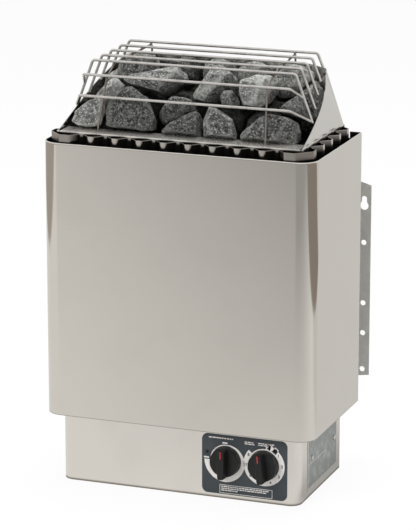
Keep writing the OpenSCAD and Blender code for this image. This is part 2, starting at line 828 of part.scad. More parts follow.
// Planes that hold the pile inside the chamber, the side plates and the guard
module pile_space() {
    lean = [cos(plate_lean), 0, sin(plate_lean)];
    room = 2 * (bar_r + wire_r) + weld_gap;
    front = [for (i = [0, 1]) [0, front_bar(i).x, front_bar(i).y]];
    first = [0, top_bar(top_bars - 1).x, top_bar(top_bars - 1).y];
    rear = [0, rear_bar.x, rear_bar.y];
    foot = [0, casing_front + foot_depth, basket_top + foot_h];
    intersection() {
        behind([inner_x - plate_t - side_room, 0, basket_top], lean);
        behind([plate_t + side_room - inner_x, 0, basket_top], [-lean.x, 0, lean.z]);
        inside_bars(foot, front[1], room);
        inside_bars(front[1], front[0], room);
        inside_bars(front[0], first, room);
        inside_bars(first, rear, room);
        behind([0, inner_back - rest_tab_d - stone_gap, basket_top], [0, 1, 0]);
        behind([0, chamber_front + lip_d + stone_gap, basket_top + lip_room], [0, -1, -sqrt(3)]);
        behind([0, 0, pile_z], [0, 0, -1]);
    }
}

// Half space inside the line of two bars, moved in by t
module inside_bars(a, b, t) {
    d = unit(b - a);
    n = [0, -d.z, d.y];
    behind(a - n * t, n);
}

// Direction in the view from the front right, at an angle from upright
function shown_way(a) = sin(a) * [cos(shown_turn), sin(shown_turn), 0] + cos(a) *
    [-sin(shown_turn) * sin(shown_rise), cos(shown_turn) * sin(shown_rise), cos(shown_rise)];

// Planes of one stone, as point and direction: against its neighbours, then its own cuts
function stone_planes(k) = let (me = pile[k], at = seed(me)) concat(
    [for (j = [0:len(pile) - 1]) let (other = pile[j], way = seed(other) - at)
        if (j != k && norm(way) < reach)
            let (share = girth(me) / (girth(me) + girth(other)))
            [at + way * share - unit(way) * stone_gap / 2, way]],
    len(me) < 7 ? [] : [for (c = me[6]) [at + shown_way(c[0]) * c[1] * spread.z, shown_way(c[0])]]
);

// One stone of the pile, cut back from its neighbours
module pile_stone(k)
    intersection() {
        translate(seed(pile[k])) rough_block(block_size(pile[k]), k);
        pile_space();
        intersection_for (p = stone_planes(k)) behind(p[0], p[1]);
    }
module stones_front() color("#555558")
    for (k = [0:len(front_stones) - 1]) pile_stone(k);
module stones_middle() color("#4c4c50")
    for (k = [0:len(middle_stones) - 1]) pile_stone(len(front_stones) + k);
module stones_back() color("#454548")
    for (k = [0:len(back_stones) - 1]) pile_stone(len(front_stones) + len(middle_stones) + k);
module stones_core() color("#3f3f42")
    for (k = [len(pile) - len(core_stones):len(pile) - 1]) pile_stone(k);

// Stones that fill a row of boxes between two depths and two heights
module stone_row(y0, y1, z0, z1, k) {
    w = 2 * (inner_x - stone_gap) / across;
    g = stone_gap / 2;
    for (i = [0:across - 1]) intersection() {
        block([-inner_x + stone_gap + i * w + g, y0 + g, z0 + g],
              [-inner_x + stone_gap + (i + 1) * w - g, y1 - g, z1 - g]);
        translate([-inner_x + stone_gap + (i + 0.5) * w, (y0 + y1) / 2, (z0 + z1) / 2])
            rough_block([row_fill.x * w, row_fill.y * (y1 - y0), row_fill.z * (z1 - z0)], k + i);
    }
}

// Hidden layer that the visible stones lie on
module stones_under() color("#3f3f42") {
    y0 = chamber_front + sheet + stone_gap;
    d = (inner_back - stone_gap - y0) / 3;
    for (r = [0:2])
        stone_row(y0 + r * d, y0 + (r + 1) * d, under_z, pile_z - stone_gap, 40 + 7 * r);
}

// Two layers on the grate, in the rows between the elements
module stones_low() color("#3f3f42") {
    edges = [
        [inner_front + stone_gap, element_y[0] - slab], [element_y[0] + slab, element_y[1] - slab],
        [element_y[1] + slab, element_y[2] - slab], [element_y[2] + slab, inner_back - stone_gap]
    ];
    h = (under_z - grate_top) / 2;
    for (r = [0:3], layer = [0, 1])
        stone_row(edges[r][0], edges[r][1], grate_top + layer * h, grate_top + (layer + 1) * h,
                  70 + 11 * r + 5 * layer);
}

// Depth and height of a top bar, counted from the rear
function top_bar(i) = [rear_bar.x - i * bar_pitch, rear_bar.y - i * bar_drop];
function bar_half(i) = inner_x - guard_inset + half_step * i;
function leg_end(i) = [bar_half(i) + leg_out + leg_out_step * i, top_bar(i).y - leg_down - leg_down_step * i];

// Bars over the top, with legs down both sides
module guard_top_bars() color("silver")
    for (i = [0:top_bars - 1]) {
        b = top_bar(i);
        e = leg_end(i);
        swept_wire([[-e.x, b.x, e.y], [-bar_half(i), b.x, b.y], [bar_half(i), b.x, b.y], [e.x, b.x, e.y]],
                   bar_r, bar_bend);
    }

// Bars across the front, with tails back to the legs of the first top bar
module guard_front_bars() color("silver") {
    last = top_bars - 1;
    top = [bar_half(last), top_bar(last).y];
    end = leg_end(last);
    for (i = [0, 1]) {
        b = front_bar(i);
        leg = top + (end - top) * tail_meet[i];
        tail_y = top_bar(last).x - 2 * bar_r;
        h = inner_x - front_bar_inset[i];
        swept_wire([[-leg.x, tail_y, leg.y], [-h, b.x, b.y], [h, b.x, b.y], [leg.x, tail_y, leg.y]],
                   bar_r, bar_bend);
    }
}

// Two wires that carry the bars from the front lip over to the chamber back
module guard_cross_wires() color("silver") {
    first = top_bar(top_bars - 1);
    rear = top_bar(0);
    bars = [[casing_front + foot_depth, basket_top + foot_h], front_bar(1), front_bar(0), first, rear];
    inside = offset_path(bars, bar_r + wire_r + weld_gap);
    back_y = inner_back - wire_r - seat_gap;
    slope = (rear.y - first.y) / (rear.x - first.x);
    top_z = inside[4].y + (back_y - inside[4].x) * slope;
    for (s = [0, 1]) mirror([s, 0, 0])
        swept_wire([
            [foot_x, inside[0].x, basket_top], [foot_x, inside[0].x, inside[0].y],
            [wire_mid_x, inside[2].x, inside[2].y], [wire_mid_x, inside[3].x, inside[3].y],
            [wire_rear_x, back_y, top_z], [wire_rear_x, back_y, rest_tab_z]
        ], wire_r, [wire_bend, wire_bend, wire_bend, rear_bend]);
}

// Printed panel on the front of the control box
module control_panel() color("darkslategray") difference() {
    translate([panel_x, box_front, panel_z]) rotate([90, 0, 0]) linear_extrude(panel_t) {
        square([panel_w - 2 * panel_r, panel_h], center = true);
        square([panel_w, panel_h - 2 * panel_r], center = true);
        for (x = [-1, 1], z = [-1, 1])
            translate([x * (panel_w / 2 - panel_r), z * (panel_h / 2 - panel_r)]) circle(panel_r);
    }
    for (x = [thermostat_x, timer_x])
        pin_y(x, knob_z, bush_neck_r + screw_play, panel_front - cut, box_front + cut);
    pin_y(reset_x, reset_z, reset_r + screw_play, panel_front - cut, box_front + cut);
}

// Round profile with a flat on its upper side
module flatted(r) difference() {
    circle(r);
    translate([-r, spindle_r - flat_cut + (r - spindle_r)]) square([2 * r, r]);
}

// Place a knob's own frame on the panel: its Z points out to the front
module on_panel(x, y, turn) {
    translate([x, y, knob_z]) rotate([90, 0, 0]) rotate(turn) children();
}

// Knob with a round skirt and a grip bar
module knob(x, turn) on_panel(x, panel_front - knob_off, turn) difference() {
    union() {
        cylinder(r = knob_r, h = skirt_t);
        intersection() {
            cylinder(r = knob_r - grip_inset, h = skirt_t + grip_h);
            translate([-grip_w / 2, -knob_r, 0]) cube([grip_w, 2 * knob_r, skirt_t + grip_h]);
        }
    }
    translate([0, 0, -cut]) linear_extrude(spindle_out + cut) flatted(spindle_r + run_gap);
    translate([0, 0, skirt_t + grip_h - pointer_t]) pointer_bar(cut);
}

// Bar of the pointer at the upper end of the grip, made taller by extra
module pointer_bar(extra) {
    translate([-pointer_w / 2, knob_r - pointer_inset - pointer_l, 0])
        cube([pointer_w, pointer_l, pointer_t + extra]);
}
module pointer(x, turn)
    on_panel(x, panel_front - knob_off - skirt_t - grip_h + pointer_t, turn) pointer_bar(0);

// Spindle from inside the switch body to the knob
module spindle(x, turn) on_panel(x, wall_in + spindle_in, turn) {
    length = wall_in + spindle_in - panel_front + knob_off + spindle_out - 2 * run_gap;
    linear_extrude(length) flatted(spindle_r);
}

// Switch body behind the front wall, with the bush that its spindle turns in
module switch_body(x, w, h, d) difference() {
    union() {
        block([x - w / 2, wall_in, knob_z - h / 2], [x + w / 2, wall_in + d, knob_z + h / 2]);
        pin_y(x, knob_z, bush_neck_r, panel_front + seat_gap, wall_in);
    }
    pin_y(x, knob_z, spindle_r + run_gap, panel_front - cut, wall_in + spindle_in + cut);
}

module thermostat_knob() color("#1c1c1e") knob(thermostat_x, thermostat_shown);
module thermostat_pointer() color("#c03028") pointer(thermostat_x, thermostat_shown);
module thermostat_spindle() color("silver") spindle(thermostat_x, thermostat_shown);
module thermostat_body() color("ivory") switch_body(thermostat_x, switch_w, switch_h, switch_d);
module timer_knob() color("#1c1c1e") knob(timer_x, timer_shown);
module timer_pointer() color("#c03028") pointer(timer_x, timer_shown);
module timer_spindle() color("silver") spindle(timer_x, timer_shown);
module timer_body() color("ivory") switch_body(timer_x, timer_w, timer_w, timer_d);

// Button that resets the overheat limiter
module reset_button() color("#1c1c1e")
    pin_y(reset_x, reset_z, reset_r, panel_front - button_proud, wall_in + button_in);

// Overheat limiter with the guide of its button
module limiter_body() color("ivory") difference() {
    pin_y(reset_x, reset_z, limiter_r, wall_in, wall_in + limiter_d);
    pin_y(reset_x, reset_z, reset_r + run_gap, wall_in - cut, wall_in + button_in + reset_travel + cut);
}

// Where each sensor tube leaves its switch
function sensors() = [
    [thermostat_x, wall_in + switch_d, knob_z + switch_h / 4], [reset_x, wall_in + limiter_d, reset_z]
];

// Capillary tubes with their bulbs in the rear air channel
module sensor_tubes() color("peru")
    for (s = sensors()) {
        bent_wire([s, [s.x, sensor_y, s.z], [s.x, sensor_y, bulb_z]], tube_r, tube_bend);
        translate([s.x, sensor_y, bulb_z]) cylinder(r = bulb_r, h = bulb_l);
    }

// Clip that holds the bulbs to the chamber back
module sensor_clip() color("gray") difference() {
    z = bulb_z + bulb_l / 2 - clip_h / 2;
    block([reset_x - 2 * bulb_r, chamber_back, z],
          [thermostat_x + 2 * bulb_r, sensor_y + 1.5 * bulb_r, z + clip_h]);
    for (s = sensors())
        translate([s.x, sensor_y, z - cut]) cylinder(r = bulb_r + run_gap, h = clip_h + 2 * cut);
}

// Where each terminal post stands
function post_x(i) = block_x + (i - (posts - 1) / 2) * post_pitch;

// Ceramic terminal block on the underside
module terminal_block() color("ivory") difference() {
    block([block_x - block_l / 2, block_y - block_d / 2, sheet],
          [block_x + block_l / 2, block_y + block_d / 2, sheet + block_h]);
    for (i = [0:posts - 1])
        block([post_x(i) - post_r - post_room, block_y - block_d / 2 - cut, sheet + block_h / 2],
              [post_x(i) + post_r + post_room, block_y + block_d / 2 + cut, sheet + block_h + cut]);
}

// Clamping screws of the terminals
module terminal_screws() color("goldenrod")
    for (i = [0:posts - 1])
        translate([post_x(i), block_y, sheet + block_h / 2]) cylinder(r = post_r, h = post_h);

// Leads from the left-hand studs and from the timer to the terminals
module supply_leads() color("firebrick") {
    post_top = sheet + block_h / 2 + post_h;
    for (i = [0:2]) {
        x = -1.5 * leg_gap;
        y = element_y[i];
        z = lead_z + i * lead_step;
        bent_wire([
            [x, y, box_h - bush_h - stud_l], [x, y, z], [post_x(i), y, z], [post_x(i), block_y, z],
            [post_x(i), block_y, post_top]
        ], lead_r, lead_bend);
    }
    for (i = [3, 4]) {
        x = timer_x + (i - 3.5) * timer_tag;
        y = wall_in + timer_d;
        run_y = y + timer_run + (i - 3) * lead_step;
        z = knob_z - switch_h / 4;
        bent_wire([
            [x, y, z], [x, run_y, z], [post_x(i), run_y, z], [post_x(i), block_y, z],
            [post_x(i), block_y, post_top]
        ], lead_r, lead_bend);
    }
}

// Gland for the supply cable in the rear wall of the control box
module cable_gland() color("#2a2a2c") {
    start = box_back_y - sheet - gland_thread_l;
    hex_end = box_back_y + gland_hex_h;
    end = hex_end + gland_dome_h;
    difference() {
        union() {
            pin_y(gland_x, gland_z, gland_thread_r, start, box_back_y);
            hex_y(gland_x, gland_z, gland_hex_r, box_back_y, hex_end);
            pin_y(gland_x, gland_z, gland_dome_r, hex_end, end);
        }
        pin_y(gland_x, gland_z, cable_r, start - cut, end + cut);
    }
}

// Nut of the gland inside the control box
module gland_nut() color("#2a2a2c") difference() {
    hex_y(gland_x, gland_z, gland_hex_r, box_back_y - sheet - nut_h, box_back_y - sheet);
    pin_y(gland_x, gland_z, gland_thread_r + run_gap, box_back_y - sheet - nut_h - cut, box_back_y);
}

// Plate screwed over the wiring opening on the right-hand side
module side_cover_plate() color("lightgray") difference() {
    block([box_w / 2, cover_y[0], cover_z[0]], [box_w / 2 + cover_t, cover_y[1], cover_z[1]]);
    for (y = cover_screw_y)
        translate([box_w / 2 - cut, y, cover_screw_z])
            rotate([0, 90, 0]) cylinder(r = screw_r + screw_play, h = cover_t + 2 * cut);
}

// Pan head screws of that plate
module cover_screws() color("silver")
    for (y = cover_screw_y) translate([box_w / 2 + cover_t, y, cover_screw_z]) rotate([0, 90, 0]) {
        cylinder(r = head_r, h = head_h);
        translate([0, 0, -cover_screw_l]) cylinder(r = screw_r, h = cover_screw_l);
    }

// Right-hand rail: wall flange with its holes, web and front flange
module bracket_rail() {
    top = rail_z + rail_h;
    difference() {
        translate([0, wall_y, 0]) rotate([90, 0, 0]) linear_extrude(bracket_t) polygon([
            [web_x, rail_z], [flange_x, rail_z + rail_chamfer[1]],
            [flange_x, top - rail_chamfer[0]], [web_x, top]
        ]);
        for (z = round_hole_z) pin_y(hole_x, rail_z + z, hole_r, wall_y - bracket_t - cut, wall_y + cut);
        pin_y(hole_x, rail_z + key_z, key_r, wall_y - bracket_t - cut, wall_y + cut);
        pin_y(hole_x, rail_z + key_z + key_step, hole_r, wall_y - bracket_t - cut, wall_y + cut);
        block([hole_x - hole_r, wall_y - bracket_t - cut, rail_z + key_z],
              [hole_x + hole_r, wall_y + cut, rail_z + key_z + key_step]);
    }
    block([web_x - bracket_t, panel_back_y, rail_z], [web_x, wall_y, top]);
    block([web_x - rail_front_w, panel_back_y, rail_z], [web_x, panel_back_y + bracket_t, top]);
}
module bracket_rail_right() color("darkgray") bracket_rail();
module bracket_rail_left() color("darkgray") mirror([1, 0, 0]) bracket_rail();

// Bars that join the two rails, the lower one drilled for the lock screw
module bracket_cross_bars() color("darkgray") {
    half = web_x - bracket_t - seat_gap;
    top = rail_z + rail_h;
    block([-half, cross_front, top - cross_h], [half, cross_front + bracket_t, top]);
    difference() {
        block([-half, cross_front, rail_z], [half, cross_front + bracket_t, rail_z + cross_h]);
        pin_y(0, rail_z + cross_h / 2, lock_r + screw_play, cross_front - cut, cross_front + bracket_t + cut);
    }
}

// Hooks on the rear wall that hang over the upper bar
module hanger_hooks() color("darkgray") {
    z = rail_z + rail_h;
    back = cross_front + bracket_t + seat_gap;
    for (s = [-1, 1]) {
        x0 = s * hook_x - hook_w / 2;
        x1 = s * hook_x + hook_w / 2;
        block([x0, panel_back_y, z], [x1, panel_back_y + bracket_t, z + hook_rise]);
        block([x0, panel_back_y, z], [x1, back + bracket_t, z + bracket_t]);
        block([x0, back, z - hook_drop], [x1, back + bracket_t, z + bracket_t]);
    }
}

// Screw that keeps the heater from lifting off the bracket
module lock_screw() color("dimgray") {
    z = rail_z + cross_h / 2;
    pin_y(0, z, head_r, cross_front + bracket_t, cross_front + bracket_t + head_h);
    pin_y(0, z, lock_r, panel_back_y - lock_in, cross_front + bracket_t);
}

box_cover();
box_back();
base_plate();
deck_plate();
outer_casing();
back_panel();
back_spacers();
panel_screws();
casing_stays();
basket_walls();
basket_back();
side_plate_left();
side_plate_right();
corrugated_liner();
stone_grate();
grate_rails();
heating_element_front();
heating_element_middle();
heating_element_rear();
star_link();
stones_front();
stones_middle();
stones_back();
stones_core();
stones_under();
stones_low();
guard_top_bars();
guard_front_bars();
guard_cross_wires();
control_panel();
thermostat_knob();
thermostat_pointer();
thermostat_spindle();
thermostat_body();
timer_knob();
timer_pointer();
timer_spindle();
timer_body();
reset_button();
limiter_body();
sensor_tubes();
sensor_clip();
terminal_block();
terminal_screws();
supply_leads();
cable_gland();
gland_nut();
side_cover_plate();
cover_screws();
bracket_rail_left();
bracket_rail_right();
bracket_cross_bars();
hanger_hooks();
lock_screw();
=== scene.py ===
import math
import bmesh
import bpy
import numpy as np
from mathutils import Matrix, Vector


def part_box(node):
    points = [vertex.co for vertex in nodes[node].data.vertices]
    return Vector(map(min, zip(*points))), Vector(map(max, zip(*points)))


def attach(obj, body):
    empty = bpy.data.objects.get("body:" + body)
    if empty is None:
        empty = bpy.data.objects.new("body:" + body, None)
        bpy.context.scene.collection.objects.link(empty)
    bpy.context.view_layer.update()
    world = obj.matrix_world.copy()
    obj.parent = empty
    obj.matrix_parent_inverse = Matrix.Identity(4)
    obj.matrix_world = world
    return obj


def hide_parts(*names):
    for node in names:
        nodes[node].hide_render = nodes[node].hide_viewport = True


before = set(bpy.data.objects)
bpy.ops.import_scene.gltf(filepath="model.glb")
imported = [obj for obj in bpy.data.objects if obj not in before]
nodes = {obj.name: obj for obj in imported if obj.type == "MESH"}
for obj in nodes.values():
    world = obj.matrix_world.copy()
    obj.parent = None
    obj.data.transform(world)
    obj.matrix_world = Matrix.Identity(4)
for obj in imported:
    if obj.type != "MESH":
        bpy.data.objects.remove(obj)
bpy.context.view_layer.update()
mm = 0.001


def addObject(name, data):
    item = bpy.data.objects.new(name, data)
    bpy.context.scene.collection.objects.link(item)
    return item


def aimAt(item, place, target):
    item.location = place
    item.rotation_euler = (Vector(target) - Vector(place)).to_track_quat("-Z", "Y").to_euler()


# camera at the photograph's viewing angle, aimed at the middle of the picture
view = dict(azimuth=20.488, elevation=14.874, distance=4.261, aim=(-0.0062, 0.0440, 0.3048), lens=198.27,
            clip=100)


def makeCamera():
    a, e = math.radians(view["azimuth"]), math.radians(view["elevation"])
    back = Vector((math.sin(a) * math.cos(e), -math.cos(a) * math.cos(e), math.sin(e)))
    data = bpy.data.cameras.new("camera")
    data.lens, data.clip_end = view["lens"], view["clip"]
    camera = addObject("camera", data)
    aimAt(camera, Vector(view["aim"]) + back * view["distance"], view["aim"])
    bpy.context.scene.camera = camera


makeCamera()
bpy.context.scene.view_settings.view_transform = "Standard"
print("camera ready")


# node trees: inputs set or linked, a node and the common kinds of it, a material with its shader, a group
def setInputs(tree, node, inputs):
    for key, value in inputs.items():
        if isinstance(value, bpy.types.NodeSocket):
            tree.links.new(value, node.inputs[key])
        else:
            node.inputs[key].default_value = value


def addNode(tree, kind, inputs=None, **settings):
    node = tree.nodes.new(kind)
    for key, value in settings.items():
        setattr(node, key, value)
    setInputs(tree, node, inputs or {})
    return node


def addMath(tree, operation, a, b, clamp=False):
    return addNode(tree, "ShaderNodeMath", {0: a, 1: b}, operation=operation, use_clamp=clamp).outputs[0]


def times(tree, a, b):
    return addMath(tree, "MULTIPLY", a, b)


def plus(tree, a, b, clamp=False):
    return addMath(tree, "ADD", a, b, clamp)


# each colour is a socket or three numbers
def mixColour(tree, factor, a, b, blend="MIX"):
    a, b = [c if isinstance(c, bpy.types.NodeSocket) else (*c, 1) for c in (a, b)]
    inputs = {0: factor, 6: a, 7: b}
    return addNode(tree, "ShaderNodeMix", inputs, data_type="RGBA", blend_type=blend).outputs[2]


def mapRange(tree, value, low, high, toLow, toHigh, kind="LINEAR"):
    inputs = {"Value": value, "From Min": low, "From Max": high, "To Min": toLow, "To Max": toHigh}
    return addNode(tree, "ShaderNodeMapRange", inputs, interpolation_type=kind).outputs["Result"]


def fade(tree, value, low, high, toLow=0.0, toHigh=1.0):
    return mapRange(tree, value, low, high, toLow, toHigh, "SMOOTHSTEP")


def objectPlace(tree):
    return addNode(tree, "ShaderNodeTexCoord").outputs["Object"]


def readAttribute(tree, name):
    return addNode(tree, "ShaderNodeAttribute", attribute_name=name).outputs["Fac"]


def bumped(tree, height, distance):
    return addNode(tree, "ShaderNodeBump", {"Height": height, "Distance": distance}).outputs["Normal"]


def startMaterial(name, sockets):
    material = bpy.data.materials.new(name)
    material.use_nodes = True
    tree = material.node_tree
    tree.nodes.clear()
    out = tree.nodes.new("ShaderNodeOutputMaterial")
    shader = addNode(tree, "ShaderNodeBsdfPrincipled", sockets)
    tree.links.new(shader.outputs["BSDF"], out.inputs["Surface"])
    return material, tree, shader


def startGroup(name, inputs, outputs):
    tree = bpy.data.node_groups.new(name, "ShaderNodeTree")
    for label, value in inputs.items():
        kind = "NodeSocketVector" if isinstance(value, tuple) else "NodeSocketFloat"
        tree.interface.new_socket(label, in_out="INPUT", socket_type=kind).default_value = value
    for label in outputs:
        tree.interface.new_socket(label, in_out="OUTPUT", socket_type="NodeSocketFloat")
    return tree, tree.nodes.new("NodeGroupInput").outputs, tree.nodes.new("NodeGroupOutput").inputs


def useGroup(tree, group, inputs):
    return addNode(tree, "ShaderNodeGroup", inputs, node_tree=group).outputs


# fine lines of a rolled or brushed sheet: noise on stretched Object coordinates
def makeGrainGroup():
    tree, ins, outs = startGroup("sheetGrain", {"Stretch": (1, 1, 1), "Scale": 400.0}, ["Grain"])
    stretched = addNode(tree, "ShaderNodeVectorMath", {0: objectPlace(tree), 1: ins["Stretch"]},
                        operation="MULTIPLY")
    noise = addNode(tree, "ShaderNodeTexNoise",
                    {"Vector": stretched.outputs[0], "Scale": ins["Scale"], "Detail": 4.0, "Roughness": 0.6})
    tree.links.new(noise.outputs[0], outs["Grain"])
    return tree


# cloudy handling marks: low noise with its contrast raised
def makeSmudgeGroup():
    tree, ins, outs = startGroup("handlingMarks", {"Scale": 12.0, "Low": 0.45, "High": 0.7}, ["Mask"])
    noise = addNode(tree, "ShaderNodeTexNoise",
                    {"Vector": objectPlace(tree), "Scale": ins["Scale"], "Detail": 6.0, "Roughness": 0.62})
    tree.links.new(fade(tree, noise.outputs[0], ins["Low"], ins["High"]), outs["Mask"])
    return tree


# crystals of a coating or a rock: one random value for each cell
def makeCellGroup():
    tree, ins, outs = startGroup("crystalCells", {"Scale": 300.0, "Warp": 0.002}, ["Cell"])
    place = objectPlace(tree)
    noise = addNode(tree, "ShaderNodeTexNoise", {"Vector": place, "Scale": 90.0, "Detail": 2.0})
    shift = addNode(tree, "ShaderNodeVectorMath", {0: noise.outputs["Color"], "Scale": ins["Warp"]},
                    operation="SCALE")
    moved = addNode(tree, "ShaderNodeVectorMath", {0: place, 1: shift.outputs[0]}, operation="ADD")
    cells = addNode(tree, "ShaderNodeTexVoronoi", {"Vector": moved.outputs[0], "Scale": ins["Scale"]})
    split = addNode(tree, "ShaderNodeSeparateColor", {0: cells.outputs["Color"]})
    tree.links.new(split.outputs[0], outs["Cell"])
    return tree


# how far a point lies below a height: 0 above the upper height, 1 under the lower one
def makeDepthGroup():
    tree, ins, outs = startGroup("depthBelow", {"Lower": 0.45, "Upper": 0.5}, ["Mask"])
    height = addNode(tree, "ShaderNodeSeparateXYZ", {0: objectPlace(tree)}).outputs["Z"]
    tree.links.new(fade(tree, height, ins["Lower"], ins["Upper"], 1.0, 0.0), outs["Mask"])
    return tree


sheetGrain = makeGrainGroup()
handlingMarks = makeSmudgeGroup()
crystalCells = makeCellGroup()
depthBelow = makeDepthGroup()

# polished or plain sheet: colour and gloss vary with the grain and with handling marks, and painted shade,
# darker and rougher, lies where an attribute says so, or below a height
steel = dict(grain=900.0, marks=9.0, markShare=0.5, paintedShadeRough=0.35, relief=0.004 * mm)


def makeSteel(name, colour, dull, rough, roughMore, stretch=(12, 12, 1), paintedShade=None, below=None,
              attribute=None, metal=1.0):
    material, tree, shader = startMaterial(name, {"Metallic": metal})
    grain = useGroup(tree, sheetGrain, {"Stretch": stretch, "Scale": steel["grain"]})["Grain"]
    marks = useGroup(tree, handlingMarks, {"Scale": steel["marks"]})["Mask"]
    tint = mixColour(tree, times(tree, marks, steel["markShare"]), colour, dull)
    gloss = plus(tree, times(tree, plus(tree, grain, marks), roughMore), rough)
    # painted shade that stands in for shadow, from an attribute or from the height
    if paintedShade:
        if attribute:
            mask = readAttribute(tree, attribute)
        else:
            mask = useGroup(tree, depthBelow, {"Lower": below[0], "Upper": below[1]})["Mask"]
        tint = mixColour(tree, mask, tint, paintedShade)
        gloss = plus(tree, gloss, times(tree, mask, steel["paintedShadeRough"]), True)
    normal = bumped(tree, grain, steel["relief"])
    setInputs(tree, shader, {"Base Color": tint, "Roughness": gloss, "Normal": normal})
    return material


# rock: clouded grey with pale and dark crystals and paler edges, times the tone of each stone, which holds
# painted light and shade as well as the stone's own tone; a pale stone is less flecked than a dark one
rock = dict(fine=(560.0, 0.0012), coarse=(360.0, 0.0018), clouds=(26.0, 0.3, 0.75),
            dark=(0.070, 0.073, 0.069), grey=(0.185, 0.188, 0.178), fleckMost=1.35, fleckLess=-0.38,
            pale=(0.50, 0.505, 0.48), paleCells=(0.60, 0.92, 0.0, 0.8), deep=(0.018, 0.019, 0.019),
            deepCells=(0.42, 0.12, 0.0, 0.85), paleEdge=(0.36, 0.36, 0.34), paleEdgeShare=0.6, rough=(0.95, 0.62),
            bumps=190.0, cellBump=0.25, relief=3.4 * mm)


def makeStone():
    r = rock
    material, tree, shader = startMaterial("rockGrey", {"Specular IOR Level": 0.35})
    fine, coarse = [useGroup(tree, crystalCells, {"Scale": scale, "Warp": warp})["Cell"]
                    for scale, warp in (r["fine"], r["coarse"])]
    clouds = useGroup(tree, handlingMarks, dict(zip(("Scale", "Low", "High"), r["clouds"])))["Mask"]
    # tone: each stone's own tone together with painted light and shade
    tone, edge = readAttribute(tree, "tone"), readAttribute(tree, "edge")
    amount = plus(tree, times(tree, tone, r["fleckLess"]), r["fleckMost"], True)
    tint = mixColour(tree, clouds, r["dark"], r["grey"])
    for cells, span, colour in ((fine, r["paleCells"], r["pale"]), (coarse, r["deepCells"], r["deep"])):
        tint = mixColour(tree, times(tree, mapRange(tree, cells, *span), amount), tint, colour)
    # paler along the edges of each stone
    tint = mixColour(tree, times(tree, edge, r["paleEdgeShare"]), tint, r["paleEdge"])
    shade = addNode(tree, "ShaderNodeCombineColor", {0: tone, 1: tone, 2: tone}).outputs[0]
    noise = addNode(tree, "ShaderNodeTexNoise",
                    {"Vector": objectPlace(tree), "Scale": r["bumps"], "Detail": 8.0, "Roughness": 0.7})
    height = plus(tree, noise.outputs[0], times(tree, fine, r["cellBump"]))
    setInputs(tree, shader, {"Base Color": mixColour(tree, 1.0, tint, shade, "MULTIPLY"),
                             "Roughness": mapRange(tree, fine, 0.0, 1.0, *r["rough"]),
                             "Normal": bumped(tree, height, r["relief"])})
    return material


# galvanised sheet: drawn grain, crystals and worn marks
zincCoat = dict(cells=(95.0, 0.004), stretch=(8, 8, 1), grain=160.0, marks=30.0, low=(0.56, 0.55, 0.525),
                high=(0.84, 0.83, 0.80), crystal=(0.80, 0.795, 0.775), crystalShare=0.25,
                worn=(0.57, 0.56, 0.54), wornShare=0.4, rough=(0.36, 0.48), relief=0.04 * mm)


def makeZinc():
    c = zincCoat
    material, tree, shader = startMaterial("galvanised", {"Metallic": 0.45})
    cells = useGroup(tree, crystalCells, {"Scale": c["cells"][0], "Warp": c["cells"][1]})["Cell"]
    grain = useGroup(tree, sheetGrain, {"Stretch": c["stretch"], "Scale": c["grain"]})["Grain"]
    marks = useGroup(tree, handlingMarks, {"Scale": c["marks"]})["Mask"]
    tint = mixColour(tree, grain, c["low"], c["high"])
    tint = mixColour(tree, times(tree, cells, c["crystalShare"]), tint, c["crystal"])
    tint = mixColour(tree, times(tree, marks, c["wornShare"]), tint, c["worn"])
    setInputs(tree, shader, {"Base Color": tint, "Roughness": mapRange(tree, cells, 0.0, 1.0, *c["rough"]),
                             "Normal": bumped(tree, marks, c["relief"])})
    return material


# one colour that wears in marks, with gloss that follows fine grain: plastic, print and ceramic,
# or bare metal
moulded = dict(marks=45.0, markShare=0.55, glossSpan=0.16)
bareMetal = dict(marks=60.0, markShare=1.0, glossSpan=0.2, grain=700.0)


def makeWorn(name, sockets, kind, colour, worn, rough, scale, depth):
    material, tree, shader = startMaterial(name, sockets)
    grain = useGroup(tree, sheetGrain, {"Scale": scale})["Grain"]
    marks = useGroup(tree, handlingMarks, {"Scale": kind["marks"]})["Mask"]
    tint = mixColour(tree, times(tree, marks, kind["markShare"]), colour, worn)
    gloss = plus(tree, times(tree, grain, kind["glossSpan"]), rough - kind["glossSpan"] / 2)
    setInputs(tree, shader, {"Base Color": tint, "Roughness": gloss, "Normal": bumped(tree, grain, depth)})
    return material


def makeMoulded(name, colour, worn, rough, scale, depth, shine=0.45):
    return makeWorn(name, {"Specular IOR Level": shine}, moulded, colour, worn, rough, scale, depth)


def makeMetal(name, colour, worn, rough, depth=0.01 * mm):
    return makeWorn(name, {"Metallic": 1.0}, bareMetal, colour, worn, rough, bareMetal["grain"], depth)


